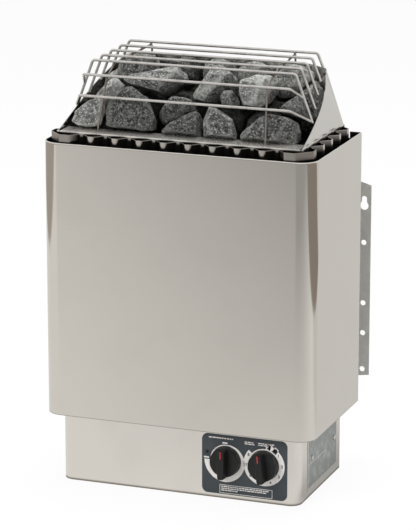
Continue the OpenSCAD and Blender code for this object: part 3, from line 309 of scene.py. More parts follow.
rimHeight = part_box("outer_casing")[1].z
finishes = dict(
    # casing: painted shade on its inner face and painted shadow along its lower edge, read from the attribute
    # inner
    casing=makeSteel("polishedSteel", (0.665, 0.640, 0.600), (0.640, 0.615, 0.575), 0.055, 0.03, (1, 1, 12),
                     paintedShade=(0.035, 0.031, 0.027), attribute="inner"),
    # box: painted shadow along its bottom edge, full below 0.8 mm and gone by 4.5 mm
    box=makeSteel("boxSteel", (0.735, 0.710, 0.672), (0.705, 0.680, 0.642), 0.16, 0.08,
                  paintedShade=(0.240, 0.215, 0.185), below=(0.8 * mm, 4.5 * mm)),
    plate=makeSteel("plateSteel", (0.690, 0.675, 0.650), (0.660, 0.645, 0.615), 0.12, 0.06, (1, 12, 12)),
    # chamber: painted shade, near black, on its walls below 12.5 mm over the casing's rim, gone by 14 mm
    chamber=makeSteel("chamberSteel", (0.760, 0.735, 0.700), (0.700, 0.675, 0.640), 0.14, 0.08,
                      paintedShade=(0.022, 0.020, 0.018), below=(rimHeight + 12.5 * mm, rimHeight + 14 * mm)),
    lip=makeSteel("lipSteel", (0.800, 0.765, 0.720), (0.760, 0.725, 0.680), 0.12, 0.06, metal=0.78),
    # liner: painted shade in the teeth, read from its attribute, with lit spots left on the tips and roots
    liner=makeSteel("linerSteel", (0.620, 0.590, 0.550), (0.520, 0.490, 0.450), 0.16, 0.08,
                    paintedShade=(0.012, 0.011, 0.010), attribute="paintedShade"),
    sheet=makeSteel("plainSheet", (0.520, 0.515, 0.505), (0.440, 0.435, 0.425), 0.30, 0.12),
    wire=makeMetal("brightWire", (0.605, 0.586, 0.562), (0.490, 0.472, 0.450), 0.20, 0.002 * mm),
    carrier=makeMetal("carrierWire", (0.240, 0.212, 0.185), (0.180, 0.156, 0.132), 0.20, 0.002 * mm),
    screw=makeMetal("screwSteel", (0.60, 0.59, 0.57), (0.46, 0.45, 0.43), 0.30),
    element=makeMetal("elementSheath", (0.20, 0.175, 0.160), (0.120, 0.100, 0.090), 0.45),
    brass=makeMetal("brassParts", (0.70, 0.52, 0.26), (0.52, 0.37, 0.18), 0.32),
    copper=makeMetal("copperTube", (0.72, 0.42, 0.28), (0.50, 0.28, 0.19), 0.30),
    cover=makeMetal("plateGrey", (0.36, 0.38, 0.375), (0.54, 0.56, 0.55), 0.44),
    zinc=makeZinc(),
    stone=makeStone(),
    knob=makeMoulded("blackPlastic", (0.011, 0.011, 0.011), (0.018, 0.018, 0.018), 0.42, 1500.0, 0.03 * mm,
                     0.28),
    red=makeMoulded("redInlay", (0.52, 0.030, 0.028), (0.42, 0.025, 0.024), 0.40, 1500.0, 0.01 * mm),
    slate=makeMoulded("slatePanel", (0.040, 0.050, 0.058), (0.052, 0.062, 0.070), 0.48, 1200.0, 0.01 * mm),
    white=makeMoulded("whitePrint", (0.82, 0.785, 0.755), (0.78, 0.745, 0.715), 0.55, 1200.0, 0.005 * mm),
    # dark print, also laid round the side cover as painted shadow
    inkAndShadow=makeMoulded("darkPrintAndShadow", (0.030, 0.034, 0.038), (0.040, 0.044, 0.048), 0.55, 1200.0, 0.005 * mm),
    ceramic=makeMoulded("ceramicWhite", (0.72, 0.68, 0.58), (0.62, 0.58, 0.49), 0.50, 500.0, 0.04 * mm),
    lead=makeMoulded("redSleeve", (0.38, 0.050, 0.040), (0.30, 0.040, 0.034), 0.60, 900.0, 0.06 * mm),
    gland=makeMoulded("glandPlastic", (0.022, 0.022, 0.023), (0.036, 0.036, 0.037), 0.46, 900.0, 0.04 * mm),
)
print("materials:", len(finishes))


# a shell is points, four-sided faces and a list of end faces; a grid's faces join each of its points to the
# next column and the next row
def gridFaces(rows, columns, wrapColumns=False):
    start = np.arange(rows - 1)[:, None] * columns
    j = np.arange(columns if wrapColumns else columns - 1)[None, :]
    after = (j + 1) % columns
    corners = [start + j, start + after, start + columns + after, start + columns + j]
    return np.stack(np.broadcast_arrays(*corners), -1).reshape(-1, 4)


def joinShells(shells):
    points, faces, ends = zip(*shells)
    starts = np.cumsum([0] + [len(some) for some in points])
    faces = [some + start for some, start in zip(faces, starts)]
    ends = [(np.asarray(end) + start).tolist() for some, start in zip(ends, starts) for end in some]
    return np.concatenate(points), np.concatenate(faces), ends


# piece: the mesh of a shell, smooth but for edges over an angle, on its body and slot in place of CAD nodes
def addPiece(name, shell, material, body, replaced=(), sharp=38, values=None):
    points, faces, ends = shell
    mesh = bpy.data.meshes.new(name)
    mesh.from_pydata(points.tolist(), [], faces.tolist() + ends)
    for key, numbers in (values or {}).items():
        mesh.attributes.new(key, "FLOAT", "POINT").data.foreach_set("value", numbers.astype(np.float32))
    work = bmesh.new()
    work.from_mesh(mesh)
    bmesh.ops.remove_doubles(work, verts=work.verts, dist=1e-7)
    bmesh.ops.recalc_face_normals(work, faces=work.faces)
    work.to_mesh(mesh)
    work.free()
    mesh.polygons.foreach_set("use_smooth", np.ones(len(mesh.polygons), bool))
    mesh.set_sharp_from_angle(angle=math.radians(sharp))
    mesh.materials.append(finishes[material])
    piece = addObject(name, mesh)
    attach(piece, body)
    if replaced:
        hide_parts(*replaced)


def unit(v):
    return v / np.linalg.norm(v, axis=-1, keepdims=True)


# angles of a full turn, and of a quarter turn with both its ends
def turnAngles(count):
    return np.linspace(0, 2 * math.pi, count, endpoint=False)


def quarterAngles(count):
    return np.radians(np.linspace(0, 90, count))


def meshPoints(mesh):
    points = np.zeros(len(mesh.vertices) * 3)
    mesh.vertices.foreach_get("co", points)
    return points.reshape(-1, 3)


# middle of a node as seen from the front
def frontMiddle(node):
    low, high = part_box(node)
    return (low.x + high.x) / 2, (low.z + high.z) / 2


# path with each corner turned into an arc: centre + r (cos w across + sin w along), w from 0 to the turn
def roundedPath(corners, radii, steps):
    corners = np.asarray(corners, float)
    legs = unit(np.diff(corners, axis=0))
    parts = [corners[:1]]
    for p, a, b, r in zip(corners[1:-1], legs[:-1], legs[1:], radii):
        turn = math.acos(min(1.0, max(-1.0, float(a @ b))))
        centre = p + unit(b - a) * r / math.cos(turn / 2)
        across = p - a * r * math.tan(turn / 2) - centre
        w = np.linspace(0, turn, steps)[:, None]
        parts.append(centre + np.cos(w) * across + np.sin(w) * a * r)
    return np.concatenate(parts + [corners[-1:]])


# side vectors of a plan path, lengthened at its corners so that offsets stay parallel
def mitredSides(plan):
    step = unit(np.diff(plan, axis=0))
    side = np.stack([step[:, 1], -step[:, 0]], 1)
    before, after = np.vstack([side[:1], side]), np.vstack([side, side[-1:]])
    return (before + after) / (1 + (before * after).sum(1))[:, None]


# extra points just inside both ends of each long straight run, so that a flat face is shaded flat
# up to its bends
def supported(path, gap, closed=False, axes=2):
    path = np.asarray(path, float)
    start, end = (path, np.roll(path, -1, 0)) if closed else (path[:-1], path[1:])
    length = np.linalg.norm((end - start)[:, :axes], axis=1)[:, None]
    inset = (end - start) * gap / np.maximum(length, 4 * gap)
    points = np.stack([start, start + inset, end - inset], 1)
    points = points[np.hstack([length > -1, length > 4 * gap, length > 4 * gap])]
    return points if closed else np.concatenate([points, path[-1:]])


# profile carried along a plan path: point = path + side * profile offset, at the profile's height
def sweepPlan(plan, profile):
    flat = plan[:, None, :] + mitredSides(plan)[:, None, :] * profile[None, :, :1]
    height = np.broadcast_to(profile[None, :, 1:2], (*flat.shape[:2], 1))
    rows, columns = flat.shape[:2]
    points = np.concatenate([flat, height], -1).reshape(-1, 3)
    ends = [list(range(columns)), list(range((rows - 1) * columns, rows * columns))]
    return points, gridFaces(rows, columns, wrapColumns=True), ends


# arc in a profile: centre + r (cos w, sin w) between two angles in degrees
def arc(centre, r, start, end, steps):
    w = np.radians(np.linspace(start, end, steps))
    return np.stack([centre[0] + r * np.cos(w), centre[1] + r * np.sin(w)], 1)


# round wire along a rounded path, with domed ends: point = path + r (cos t side + sin t over)
def tube(corners, radii, r, sides=20, steps=14, domeRings=6, domeRise=0.5):
    path = supported(roundedPath(corners, radii, steps), r, axes=3)
    step = unit(np.diff(path, axis=0))
    along = unit(np.vstack([step[:1], step]) + np.vstack([step, step[-1:]]))
    w = np.linspace(math.pi / 2, 0, domeRings)[:, None]
    dome = domeRise * r * (1 - np.sin(w))
    path = np.concatenate([path[0] + along[0] * dome, path[1:-1], path[-1] - along[-1] * dome[::-1]])
    size = np.concatenate([r * np.cos(w), np.full((len(along) - 2, 1), r), r * np.cos(w[::-1])])
    first, last = [np.repeat(end, domeRings, 0) for end in (along[:1], along[-1:])]
    along = np.concatenate([first, along[1:-1], last])
    flat = np.linalg.svd(path - path.mean(0))[2][2]
    side = unit(np.cross(along, flat))
    over = np.cross(side, along)
    t = turnAngles(sides)[None, :, None]
    points = path[:, None] + size[:, None] * (np.cos(t) * side[:, None] + np.sin(t) * over[:, None])
    return points.reshape(-1, 3), gridFaces(len(path), sides, wrapColumns=True), []


# stack of rings round an axis: point = centre + radius (cos t, sin t) across + height out
def ringStack(radius, height, centre, across, over, out):
    radius, height = np.broadcast_arrays(radius, height)
    t = turnAngles(radius.shape[1])[None, :, None]
    flat = radius[..., None] * (np.cos(t) * np.asarray(across) + np.sin(t) * np.asarray(over))
    points = np.asarray(centre) + flat + height[..., None] * np.asarray(out)
    return points.reshape(-1, 3), gridFaces(*radius.shape, wrapColumns=True), []


# thin plate between two like grids, closed round its rim
def slab(front, back):
    rows, columns = front.shape[:2]
    index = np.arange(rows * columns).reshape(rows, columns)
    rim = np.concatenate([index[0, :-1], index[:-1, -1], index[-1, :0:-1], index[:0:-1, 0]])
    ahead = np.roll(rim, -1)
    walls = np.stack([rim, ahead, ahead + index.size, rim + index.size], 1)
    faces = gridFaces(rows, columns)
    points = np.concatenate([front.reshape(-1, 3), back.reshape(-1, 3)])
    return points, np.concatenate([faces, faces[:, ::-1] + index.size, walls]), []


# casing: one sheet wrapped round the chamber, its rim folded in to a round hem, its back edges returned;
# its inner face gets painted shade, and so does its lower edge by the last values of the profile
casing = dict(corner=26 * mm, backCorner=3.4 * mm, sheet=1.0 * mm, hem=1.6 * mm, hemDepth=9 * mm, hemSteps=13,
              returned=18 * mm, edge=0.8 * mm, edgeRound=0.3 * mm, support=1.5 * mm, cornerSteps=40,
              innerFrom=0.6, lowerShade=(1, 1, 1, 0.5, 0.35, 0))


def buildCasing():
    low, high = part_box("outer_casing")
    thick = casing["sheet"] + casing["hem"]
    inside = high.x - casing["returned"]
    corners = [(-inside, high.y), (low.x, high.y), (low.x, low.y), (high.x, low.y), (high.x, high.y),
               (inside, high.y)]
    radii = [casing["backCorner"], casing["corner"], casing["corner"], casing["backCorner"]]
    plan = supported(roundedPath(corners, radii, casing["cornerSteps"]), casing["support"])
    fold = arc((-thick / 2, high.z - thick / 2), thick / 2, 0, 180, casing["hemSteps"])
    step = high.z - casing["hemDepth"]
    t, e, r = casing["sheet"], casing["edge"], casing["edgeRound"]
    lower = [(-t, step), (-t, low.z + r), (-t / 2, low.z), (0, low.z + r), (0, low.z + e), (0, low.z + 2 * e)]
    profile = np.concatenate([fold, [(-thick, step)], lower])
    shade = np.where(profile[:, 0] < -casing["innerFrom"] * thick, 1.0, 0.0)
    shade[-len(lower):] = casing["lowerShade"]
    profile = supported(np.column_stack([profile, shade]), casing["support"], closed=True)
    addPiece("casing_wrap", sweepPlan(plan, profile), "casing", "heater", ["outer_casing"],
             values={"inner": np.tile(profile[:, 2], len(plan))})


buildCasing()


# control box: front and sides in one bent sheet
box = dict(corner=17 * mm, sheet=1.0 * mm, edge=0.35 * mm, edgeSteps=5, support=0.8 * mm, cornerSteps=32,
           play=0.6 * mm)


def buildBox():
    low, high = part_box("box_cover")
    corners = [(low.x, high.y), (low.x, low.y), (high.x, low.y), (high.x, high.y)]
    plan = supported(roundedPath(corners, [box["corner"]] * 2, box["cornerSteps"]), box["support"])
    e, t = box["edge"], box["sheet"]
    centres = [(-e, high.z - e), (e - t, high.z - e), (e - t, low.z + e), (-e, low.z + e)]
    rounds = [arc(c, e, 90 * k, 90 * (k + 1), box["edgeSteps"]) for k, c in enumerate(centres)]
    profile = supported(np.concatenate(rounds), box["support"], closed=True)
    # square way through the front for the button: one cell of each side is left out and its rim is closed
    least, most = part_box("reset_button")
    middle, half = (least + most) / 2, (most.x - least.x) / 2 + box["play"]
    row = np.flatnonzero((plan[:, 0] > middle.x) & (plan[:, 1] < low.y + e))[0]
    plan = np.insert(plan, row, [(middle.x - half, low.y), (middle.x + half, low.y)], axis=0)
    inner = np.flatnonzero((profile[:, 0] < e / 2 - t) & (profile[:, 1] < middle.z))[0]
    profile = np.insert(profile, inner, [(-t, middle.z + half), (-t, middle.z - half)], axis=0)
    outer = len(profile) - 1
    profile = np.insert(profile, outer, [(0, middle.z - half), (0, middle.z + half)], axis=0)
    points, faces, ends = sweepPlan(plan, profile)
    step = len(profile)
    faces = np.delete(faces, [row * step + inner, row * step + outer], axis=0)
    turns = np.array([0, 0, 1, 1]) * step + row * step
    near, far = turns + outer + [0, 1, 1, 0], turns + inner + [1, 0, 0, 1]
    rim = np.stack([near, np.roll(near, -1), np.roll(far, -1), far], 1)
    shell = (points, np.concatenate([faces, rim]), ends)
    addPiece("box_wrap", shell, "box", "heater", ["box_cover"])


buildBox()


# corrugated strip: teeth of one pitch round the front and sides, all bends round
# the spot, edge, side and corner numbers shape the painted shade that stands in for the shadow between the
# teeth
liner = dict(frontTeeth=8, sideTeeth=4, pitch=36.6 * mm, flat=8 * mm, cornerCut=20 * mm, sideEnd=2 * mm,
             thick=0.8 * mm, edge=0.15 * mm, bend=3.6 * mm, bendSteps=7, support=0.4 * mm,
             tipSpot=(5.2 * mm, 11 * mm), rootSpot=(2.6 * mm, 8 * mm), spotSteep=3, sideShade=0.45,
             cornerShade=0.38, shadeRows=18, shadeDepth=17 * mm, bareEdge=0.9 * mm, edgeShade=0.35)


# outline of the strip from the middle of the front round the right-hand side, and where its corner starts
# and ends
def linerOutline(wall, tip, back):
    pitch, flat, cut = liner["pitch"], liner["flat"], liner["cornerCut"]
    ramp = pitch / 2 - flat
    tooth = np.array([flat / 2 - pitch / 2, -flat / 2, flat / 2, pitch / 2 - flat / 2])
    x = (np.arange(liner["frontTeeth"] // 2) + 0.5)[:, None] * pitch + tooth
    front = np.stack(np.broadcast_arrays(x, [wall[1], tip[1], tip[1], wall[1]]), -1).reshape(-1, 2)
    y = back - liner["sideEnd"] - (np.arange(liner["sideTeeth"])[::-1] + 0.5)[:, None] * pitch + tooth
    side = np.stack(np.broadcast_arrays([wall[0], tip[0], tip[0], wall[0]], y), -1).reshape(-1, 2)
    last, first = front[-1, 0] + flat, side[0, 1] - flat
    corner = [(last, wall[1]), (last + ramp, tip[1]), (tip[0] - cut, tip[1]), (tip[0], tip[1] + cut),
              (tip[0], first - ramp), (wall[0], first)]
    return np.concatenate([front, corner, side, [(wall[0], back)]]), last, first, ramp


def buildLiner():
    low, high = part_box("corrugated_liner")
    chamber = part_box("basket_walls")
    pitch, e, t, back = liner["pitch"], liner["edge"], liner["thick"], chamber[1].y
    right, last, first, ramp = linerOutline((chamber[1].x, chamber[0].y), (high.x - t, low.y + t), back)
    whole = np.concatenate([right[::-1] * [-1, 1], right])
    plan = roundedPath(whole, [liner["bend"]] * (len(whole) - 2), liner["bendSteps"])
    plan = supported(plan, liner["support"])
    z = high.z - e - np.linspace(0, liner["shadeDepth"], liner["shadeRows"])
    profile = np.concatenate([[(0, low.z), (t, low.z)], np.column_stack([np.full_like(z, t), z[::-1]]),
                              [(t - e, high.z), (e, high.z)], np.column_stack([np.zeros_like(z), z])])
    # painted shade, standing in for the shadow deep between the teeth, is lighter on the top edge and leaves
    # a lit spot on each tip
    # and root: |u| / width + (depth / reach)^2 < 1, with u along the strip
    x, y = np.abs(plan[:, 0]), plan[:, 1]
    onFront, onSide = x < last, y > first
    turn = np.where(onFront, x, back - liner["sideEnd"] - y) / pitch
    onRamp = np.clip(np.maximum(last + ramp - x, y - first + ramp), 0, None)
    fromTip = np.where(onFront | onSide, np.abs(turn % 1 - 0.5) * pitch, onRamp)[:, None]
    depth = (high.z - profile[:, 1])[None, :]
    spots = [np.clip(liner["spotSteep"] * (1 - np.abs(u) / w - (depth / d) ** 2), 0, 1)
             for u, (w, d) in ((fromTip, liner["tipSpot"]), (pitch / 2 - fromTip, liner["rootSpot"]))]
    paintedShade = np.where(depth < liner["bareEdge"], liner["edgeShade"], 1) * (1 - np.maximum(*spots))
    # on the sides the painted shade grows with depth, and on the corners some of it always stays
    sideShade = paintedShade * np.clip(liner["sideShade"] + depth / liner["shadeDepth"], 0, 1)
    paintedShade = np.where((onSide & ~onFront)[:, None], sideShade, paintedShade)
    paintedShade = np.where((onFront | onSide)[:, None], paintedShade, np.maximum(paintedShade, liner["cornerShade"]))
    addPiece("liner_strip", sweepPlan(plan, profile), "liner", "heater", ["corrugated_liner"],
             values={"paintedShade": paintedShade.ravel()})


buildLiner()


# side plates: a fan from the rear corner to the front edge, with the edge at low + t way
# + 4 t (1 - t) (hollow aside + bow (1 + skew (2 t - 1)) out), and a tab inside the chamber
sidePlate = dict(lean=19, slope=81 * mm, hollow=4.5 * mm, bow=7 * mm, skew=0.46, nose=2 * mm, top=3 * mm,
                 thick=1 * mm, tab=11 * mm, seat=0.2 * mm, fold=1 * mm, sheet=1 * mm, steps=61, rays=12)


def buildSidePlates():
    p = sidePlate
    low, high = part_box("basket_walls")
    innerX, bend = high.x - p["sheet"], high.z - p["fold"]
    front, back = low.y + p["sheet"] + p["seat"], high.y - p["sheet"] - p["seat"]
    lean = math.radians(p["lean"])
    up = np.array([-math.sin(lean), 0, math.cos(lean)])
    out = np.array([math.cos(lean), 0, math.sin(lean)])
    start = np.array([front, p["nose"]])
    way = np.array([back + p["seat"] - p["top"], p["slope"]]) - start
    aside = np.array([way[1], -way[0]]) / np.linalg.norm(way)
    t = np.linspace(0, 1, p["steps"])[:, None]
    arch = 4 * t * (1 - t)
    bow = p["bow"] * arch * (1 + p["skew"] * (2 * t - 1))
    edge = np.hstack([start + way * t + aside * p["hollow"] * arch, bow])
    edge = np.concatenate([[(front, 0, 0)], edge, [(back, p["slope"], 0)]])
    root = np.array([innerX, back, bend])
    rim = np.array([innerX, 0, bend]) + edge[:, :1] * [0, 1, 0] + edge[:, 1:2] * up + edge[:, 2:] * out
    outer = root + np.linspace(0, 1, p["rays"])[None, :, None] * (rim[:, None] - root)
    y, z = np.meshgrid([front, back], [bend - p["tab"], bend])
    tab = np.stack([np.full_like(y, innerX), y, z], -1)
    for side, name in ((1, "right"), (-1, "left")):
        turned = np.array([side, 1, 1])
        shells = [slab(outer * turned, (outer - out * p["thick"]) * turned),
                  slab(tab * turned, (tab - [p["thick"], 0, 0]) * turned)]
        addPiece("plate_" + name, joinShells(shells), "plate", "heater",
                 ["side_plate_" + name])


buildSidePlates()


# lip of the chamber: a bright sheet over its top, turned down round a fold of radius r at the front, with its
# rear part under the front stones
lip = dict(depth=30 * mm, ends=5 * mm, fold=1.2 * mm, foldSteps=9, drop=2.4 * mm, rise=0.12 * mm)


def buildLip():
    low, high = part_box("basket_walls")
    r, out = lip["fold"], lip["rise"]
    front, top = low.y - out, high.z + out
    bend = arc((front + r, top - r), r, 180, 90, lip["foldSteps"])
    flat = [(front + 2 * r, top), (low.y + lip["depth"], top)]
    line = np.concatenate([[(front, high.z - lip["drop"])], bend, flat])
    x = np.array([-1, 1]) * (high.x - lip["ends"])
    over = np.stack(np.broadcast_arrays(x[None, :], line[:, :1], line[:, 1:]), -1)
    under = over + np.array([0, 2 * out, -2 * out])
    addPiece("lip_sheet", slab(over, under), "lip", "heater")


buildLip()
print("sheet metal: casing, box, liner, side plates and lip")


# guard: bars over the top with legs, two bars across the front, two wires that carry them, and their welds
guard = dict(barRadius=2 * mm, wireRadius=1.5 * mm, wireSides=16, gap=0.2 * mm, bars=5, pitch=30 * mm,
             drop=2 * mm, bend=5 * mm, rearIn=26 * mm, inset=38.8 * mm, halfStep=2 * mm, legOut=9.3 * mm,
             legOutStep=4 * mm, legDown=22 * mm, legDownStep=11.5 * mm, frontDepth=(44.4 * mm, 35.2 * mm),
             frontDrop=(23.3 * mm, 52.3 * mm), frontInset=(29.1 * mm, 26.5 * mm), tailMeet=(0.47, 0.95),
             footDepth=22.5 * mm, footRise=6 * mm, footInset=58 * mm, midIn=5.5 * mm, rearWireIn=15 * mm,
             restRise=55 * mm, wireBend=8 * mm, rearBend=4 * mm, sheet=1 * mm, seat=0.2 * mm,
             beadRadius=2.1 * mm, beadHeight=1.5 * mm, beadRings=7, beadSides=10)


def buildGuard():
    g = guard
    low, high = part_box("outer_casing")
    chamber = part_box("basket_walls")
    innerX, innerBack = chamber[1].x - g["sheet"], chamber[1].y - g["sheet"]
    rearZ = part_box("guard_top_bars")[1].z - g["barRadius"]
    i = np.arange(g["bars"])
    y, z = high.y - g["rearIn"] - i * g["pitch"], rearZ - i * g["drop"]
    half = innerX - g["inset"] + i * g["halfStep"]
    endX, endZ = half + g["legOut"] + i * g["legOutStep"], z - g["legDown"] - i * g["legDownStep"]
    bars = [tube([(-ex, by, ez), (-h, by, bz), (h, by, bz), (ex, by, ez)], [g["bend"]] * 2, g["barRadius"])
            for by, bz, h, ex, ez in zip(y, z, half, endX, endZ)]
    addPiece("guard_top", joinShells(bars), "wire", "guard", ["guard_top_bars"])
    frontY = [low.y + d for d in g["frontDepth"]]
    frontZ = [rearZ - d for d in g["frontDrop"]]
    tailY = y[-1] - 2 * g["barRadius"]
    fronts = []
    for fy, fz, inset, meet in zip(frontY, frontZ, g["frontInset"], g["tailMeet"]):
        h = innerX - inset
        legX, legZ = half[-1] + (endX[-1] - half[-1]) * meet, z[-1] + (endZ[-1] - z[-1]) * meet
        fronts.append(tube([(-legX, tailY, legZ), (-h, fy, fz), (h, fy, fz), (legX, tailY, legZ)],
                           [g["bend"]] * 2, g["barRadius"]))
    addPiece("guard_front", joinShells(fronts), "wire", "guard", ["guard_front_bars"])
    # the wires run inside the line of the bars, by both radii and a gap
    line = np.array([(low.y + g["footDepth"], chamber[1].z + g["footRise"]), (frontY[1], frontZ[1]),
                     (frontY[0], frontZ[0]), (y[-1], z[-1]), (y[0], z[0])])
    sides = mitredSides(line)
    inside = line + sides * (g["barRadius"] + g["wireRadius"] + g["gap"])
    backY = innerBack - g["wireRadius"] - g["seat"]
    topZ = inside[4, 1] + (backY - inside[4, 0]) * (z[0] - z[-1]) / (y[0] - y[-1])
    footX = innerX - g["footInset"]
    midX, rearX = footX - g["midIn"], footX - g["rearWireIn"]
    route = np.array([(footX, inside[0, 0], chamber[1].z), (footX, *inside[0]), (midX, *inside[2]),
                      (midX, *inside[3]), (rearX, backY, topZ), (rearX, backY, high.z + g["restRise"])])
    bends = [g["wireBend"]] * 3 + [g["rearBend"]]
    wires = [tube(route * [s, 1, 1], bends, g["wireRadius"], g["wireSides"]) for s in (-1, 1)]
    addPiece("guard_wires", joinShells(wires), "carrier", "guard", ["guard_cross_wires"])
    # a weld is a flattened bead where a bar meets a wire: radius cos w at height sin w
    spots = np.concatenate([np.stack([y, z], 1), np.stack([frontY, frontZ], 1)])
    out = np.concatenate([np.repeat(sides[4:5], len(y), 0), sides[2:3], sides[1:2]])
    seat = spots + out * g["barRadius"]
    share = np.clip((seat[:, 0] - route[3, 1]) / (route[4, 1] - route[3, 1]), 0, 1)
    lower = np.clip((seat[:, 0] - route[1, 1]) / (route[2, 1] - route[1, 1]), 0, 1)
    spotX = np.where(seat[:, 0] > route[3, 1], midX + (rearX - midX) * share, footX + (midX - footX) * lower)
    w = np.linspace(-math.pi / 2, math.pi / 2, g["beadRings"])[:, None] + np.zeros((1, g["beadSides"]))
    radius, height = g["beadRadius"] * np.cos(w), g["beadHeight"] * np.sin(w)
    beads = [ringStack(radius, height, (s * bx, *p), (1, 0, 0), (0, -o[1], o[0]), (0, *o))
             for s in (-1, 1) for bx, p, o in zip(spotX, seat, out)]
    addPiece("guard_welds", joinShells(beads), "carrier", "guard")


buildGuard()
print("guard: bars, wires and welds")


# stones: each CAD solid is a set of planes; the stone is their rounded common inside, broken by noise
stones = dict(sharpness=64.0, chips=9, chipDepth=(0.84, 0.98), rows=92, columns=150, seed=1100,
              leastReach=4 * mm, grain=((22 * mm, 0.060), (8 * mm, 0.036), (3.2 * mm, 0.018)), grainSink=0.25,
              grainSeed=3, leastArea=1e-9, planeDigits=4, alike=0.995, edgeFrom=0.88, sharp=60)

# numbers that scatter the lattice's points over its random values
lattice = dict(shift=17.3, keys=(73856093, 19349663, 83492791), seedKey=2654435, factor=1103515245, add=12345,
               most=0x7FFFFFFF)


# lattice noise: random values at whole points, blended by a smooth step along each axis
def latticeNoise(points, size, seed):
    p = points / size + seed * lattice["shift"]
    cell = np.floor(p).astype(np.int64)
    f = p - cell
    f = f * f * (3 - 2 * f)
    total = np.zeros(len(points))
    for corner in np.ndindex(2, 2, 2):
        key = np.bitwise_xor.reduce((cell + corner) * lattice["keys"], axis=1) ^ (seed * lattice["seedKey"])
        value = ((key * lattice["factor"] + lattice["add"]) & lattice["most"]) / lattice["most"]
        total += value * np.prod(np.where(corner, f, 1 - f), axis=1)
    return total - 0.5


# solids of a node: triangles that share corners belong together
def solidsOf(node, digits=6):
    mesh = nodes[node].data
    points = meshPoints(mesh)
    mesh.calc_loop_triangles()
    corners = np.zeros(len(mesh.loop_triangles) * 3, int)
    mesh.loop_triangles.foreach_get("vertices", corners)
    corners = corners.reshape(-1, 3)
    joined = np.unique(np.round(points, digits), axis=0, return_inverse=True)[1].reshape(-1)
    triangles = joined[corners]
    label = np.arange(joined.max() + 1)
    while True:
        lowest = label[triangles].min(1)
        newer = label.copy()
        np.minimum.at(newer, triangles.ravel(), np.repeat(lowest, 3))
        if (newer == label).all():
            break
        label = newer
    own = label[triangles[:, 0]]
    return [points[corners[own == one]] for one in np.unique(own)]


# planes of a solid, as direction and distance from its middle, with some chips cut off it
def stonePlanes(triangles, middle, rng):
    across = np.cross(triangles[:, 1] - triangles[:, 0], triangles[:, 2] - triangles[:, 0])
    keep = np.linalg.norm(across, axis=1) > stones["leastArea"]
    normal = unit(across[keep])
    planes = np.column_stack([normal, ((triangles[keep, 0] - middle) * normal).sum(1)])
    planes = planes[np.unique(np.round(planes, stones["planeDigits"]), axis=0, return_index=True)[1]]
    chip = unit(rng.normal(size=(stones["chips"], 3)))
    reach = ((triangles.reshape(-1, 3) - middle) @ chip.T).max(0)
    reach = reach * rng.uniform(*stones["chipDepth"], stones["chips"])
    planes = np.vstack([planes, np.column_stack([chip, reach])])
    planes[:, 3] = np.maximum(planes[:, 3], stones["leastReach"])
    return planes


# distance from the middle along u: (sum of max(u.n / d, 0)^p)^(-1/p) over the planes n, d
def stoneShell(triangles, number, rows, columns, tone):
    corners = triangles.reshape(-1, 3)
    middle = (corners.min(0) + corners.max(0)) / 2
    planes = stonePlanes(triangles, middle, np.random.default_rng(stones["seed"] + number))
    theta = np.linspace(0, math.pi, rows)[:, None]
    phi = turnAngles(columns)[None, :]
    u = np.broadcast_arrays(np.sin(theta) * np.cos(phi), np.sin(theta) * np.sin(phi), np.cos(theta))
    u = np.stack(u, -1).reshape(-1, 3)
    share = np.maximum(u @ planes[:, :3].T / planes[:, 3], 0)
    far = (share ** stones["sharpness"]).sum(1) ** (-1 / stones["sharpness"])
    # an edge lies where a plane of another direction is almost as near as the nearest one
    alike = planes[:, :3] @ planes[:, :3].T > stones["alike"]
    others = np.where(alike[share.argmax(1)], 0, share)
    edge = np.clip((others.max(1) / share.max(1) - stones["edgeFrom"]) / (1 - stones["edgeFrom"]), 0, 1) ** 2
    place = u * far[:, None]
    for size, depth in stones["grain"]:
        noise = latticeNoise(place + middle, size, number + stones["grainSeed"])
        far = far * (1 + depth * 2 * (noise - stones["grainSink"]))
    points = middle + u * np.minimum(far, 1 / share.max(1))[:, None]
    return (points, gridFaces(rows, columns, wrapColumns=True), []), edge, np.full(len(points), tone)


def buildStones(layer, start, share, tonesAndShade):
    rows, columns = int(stones["rows"] * share), int(stones["columns"] * share)
    found = solidsOf("stones_" + layer)
    order = np.argsort([t[..., 0].min() + t[..., 0].max() for t in found])
    tonesAndShade = np.resize(tonesAndShade, len(found))[np.argsort(order)]
    made = [stoneShell(t, start + k, rows, columns, tone) for k, (t, tone) in enumerate(zip(found, tonesAndShade))]
    values = {"edge": np.concatenate([m[1] for m in made]), "tone": np.concatenate([m[2] for m in made])}
    addPiece("rocks_" + layer, joinShells([m[0] for m in made]), "stone", "heater",
             ["stones_" + layer], stones["sharp"], values)
    print("stones:", layer, len(made))


# for each layer: the number of its first stone, its share of the rows and columns, and its tones from the
# left-hand stone to the right-hand one; a tone is partly the stone's own and partly painted light and shade,
# and the dark core, under and low stones are painted shade
buildStones("front", 0, 1.0, (1.6, 0.56, 0.66, 1.0, 0.80))
buildStones("middle", 20, 1.0, (2.0, 1.35, 0.9, 1.4, 0.95, 1.75, 0.8))
buildStones("back", 40, 1.0, (1.2, 1.0, 0.65, 0.95, 1.5, 1.7, 1.3))
buildStones("core", 60, 0.5, (0.20, 0.25, 0.17))
buildStones("under", 80, 0.5, (0.12, 0.20, 0.16))
buildStones("low", 120, 0.34, (0.12, 0.20, 0.16))


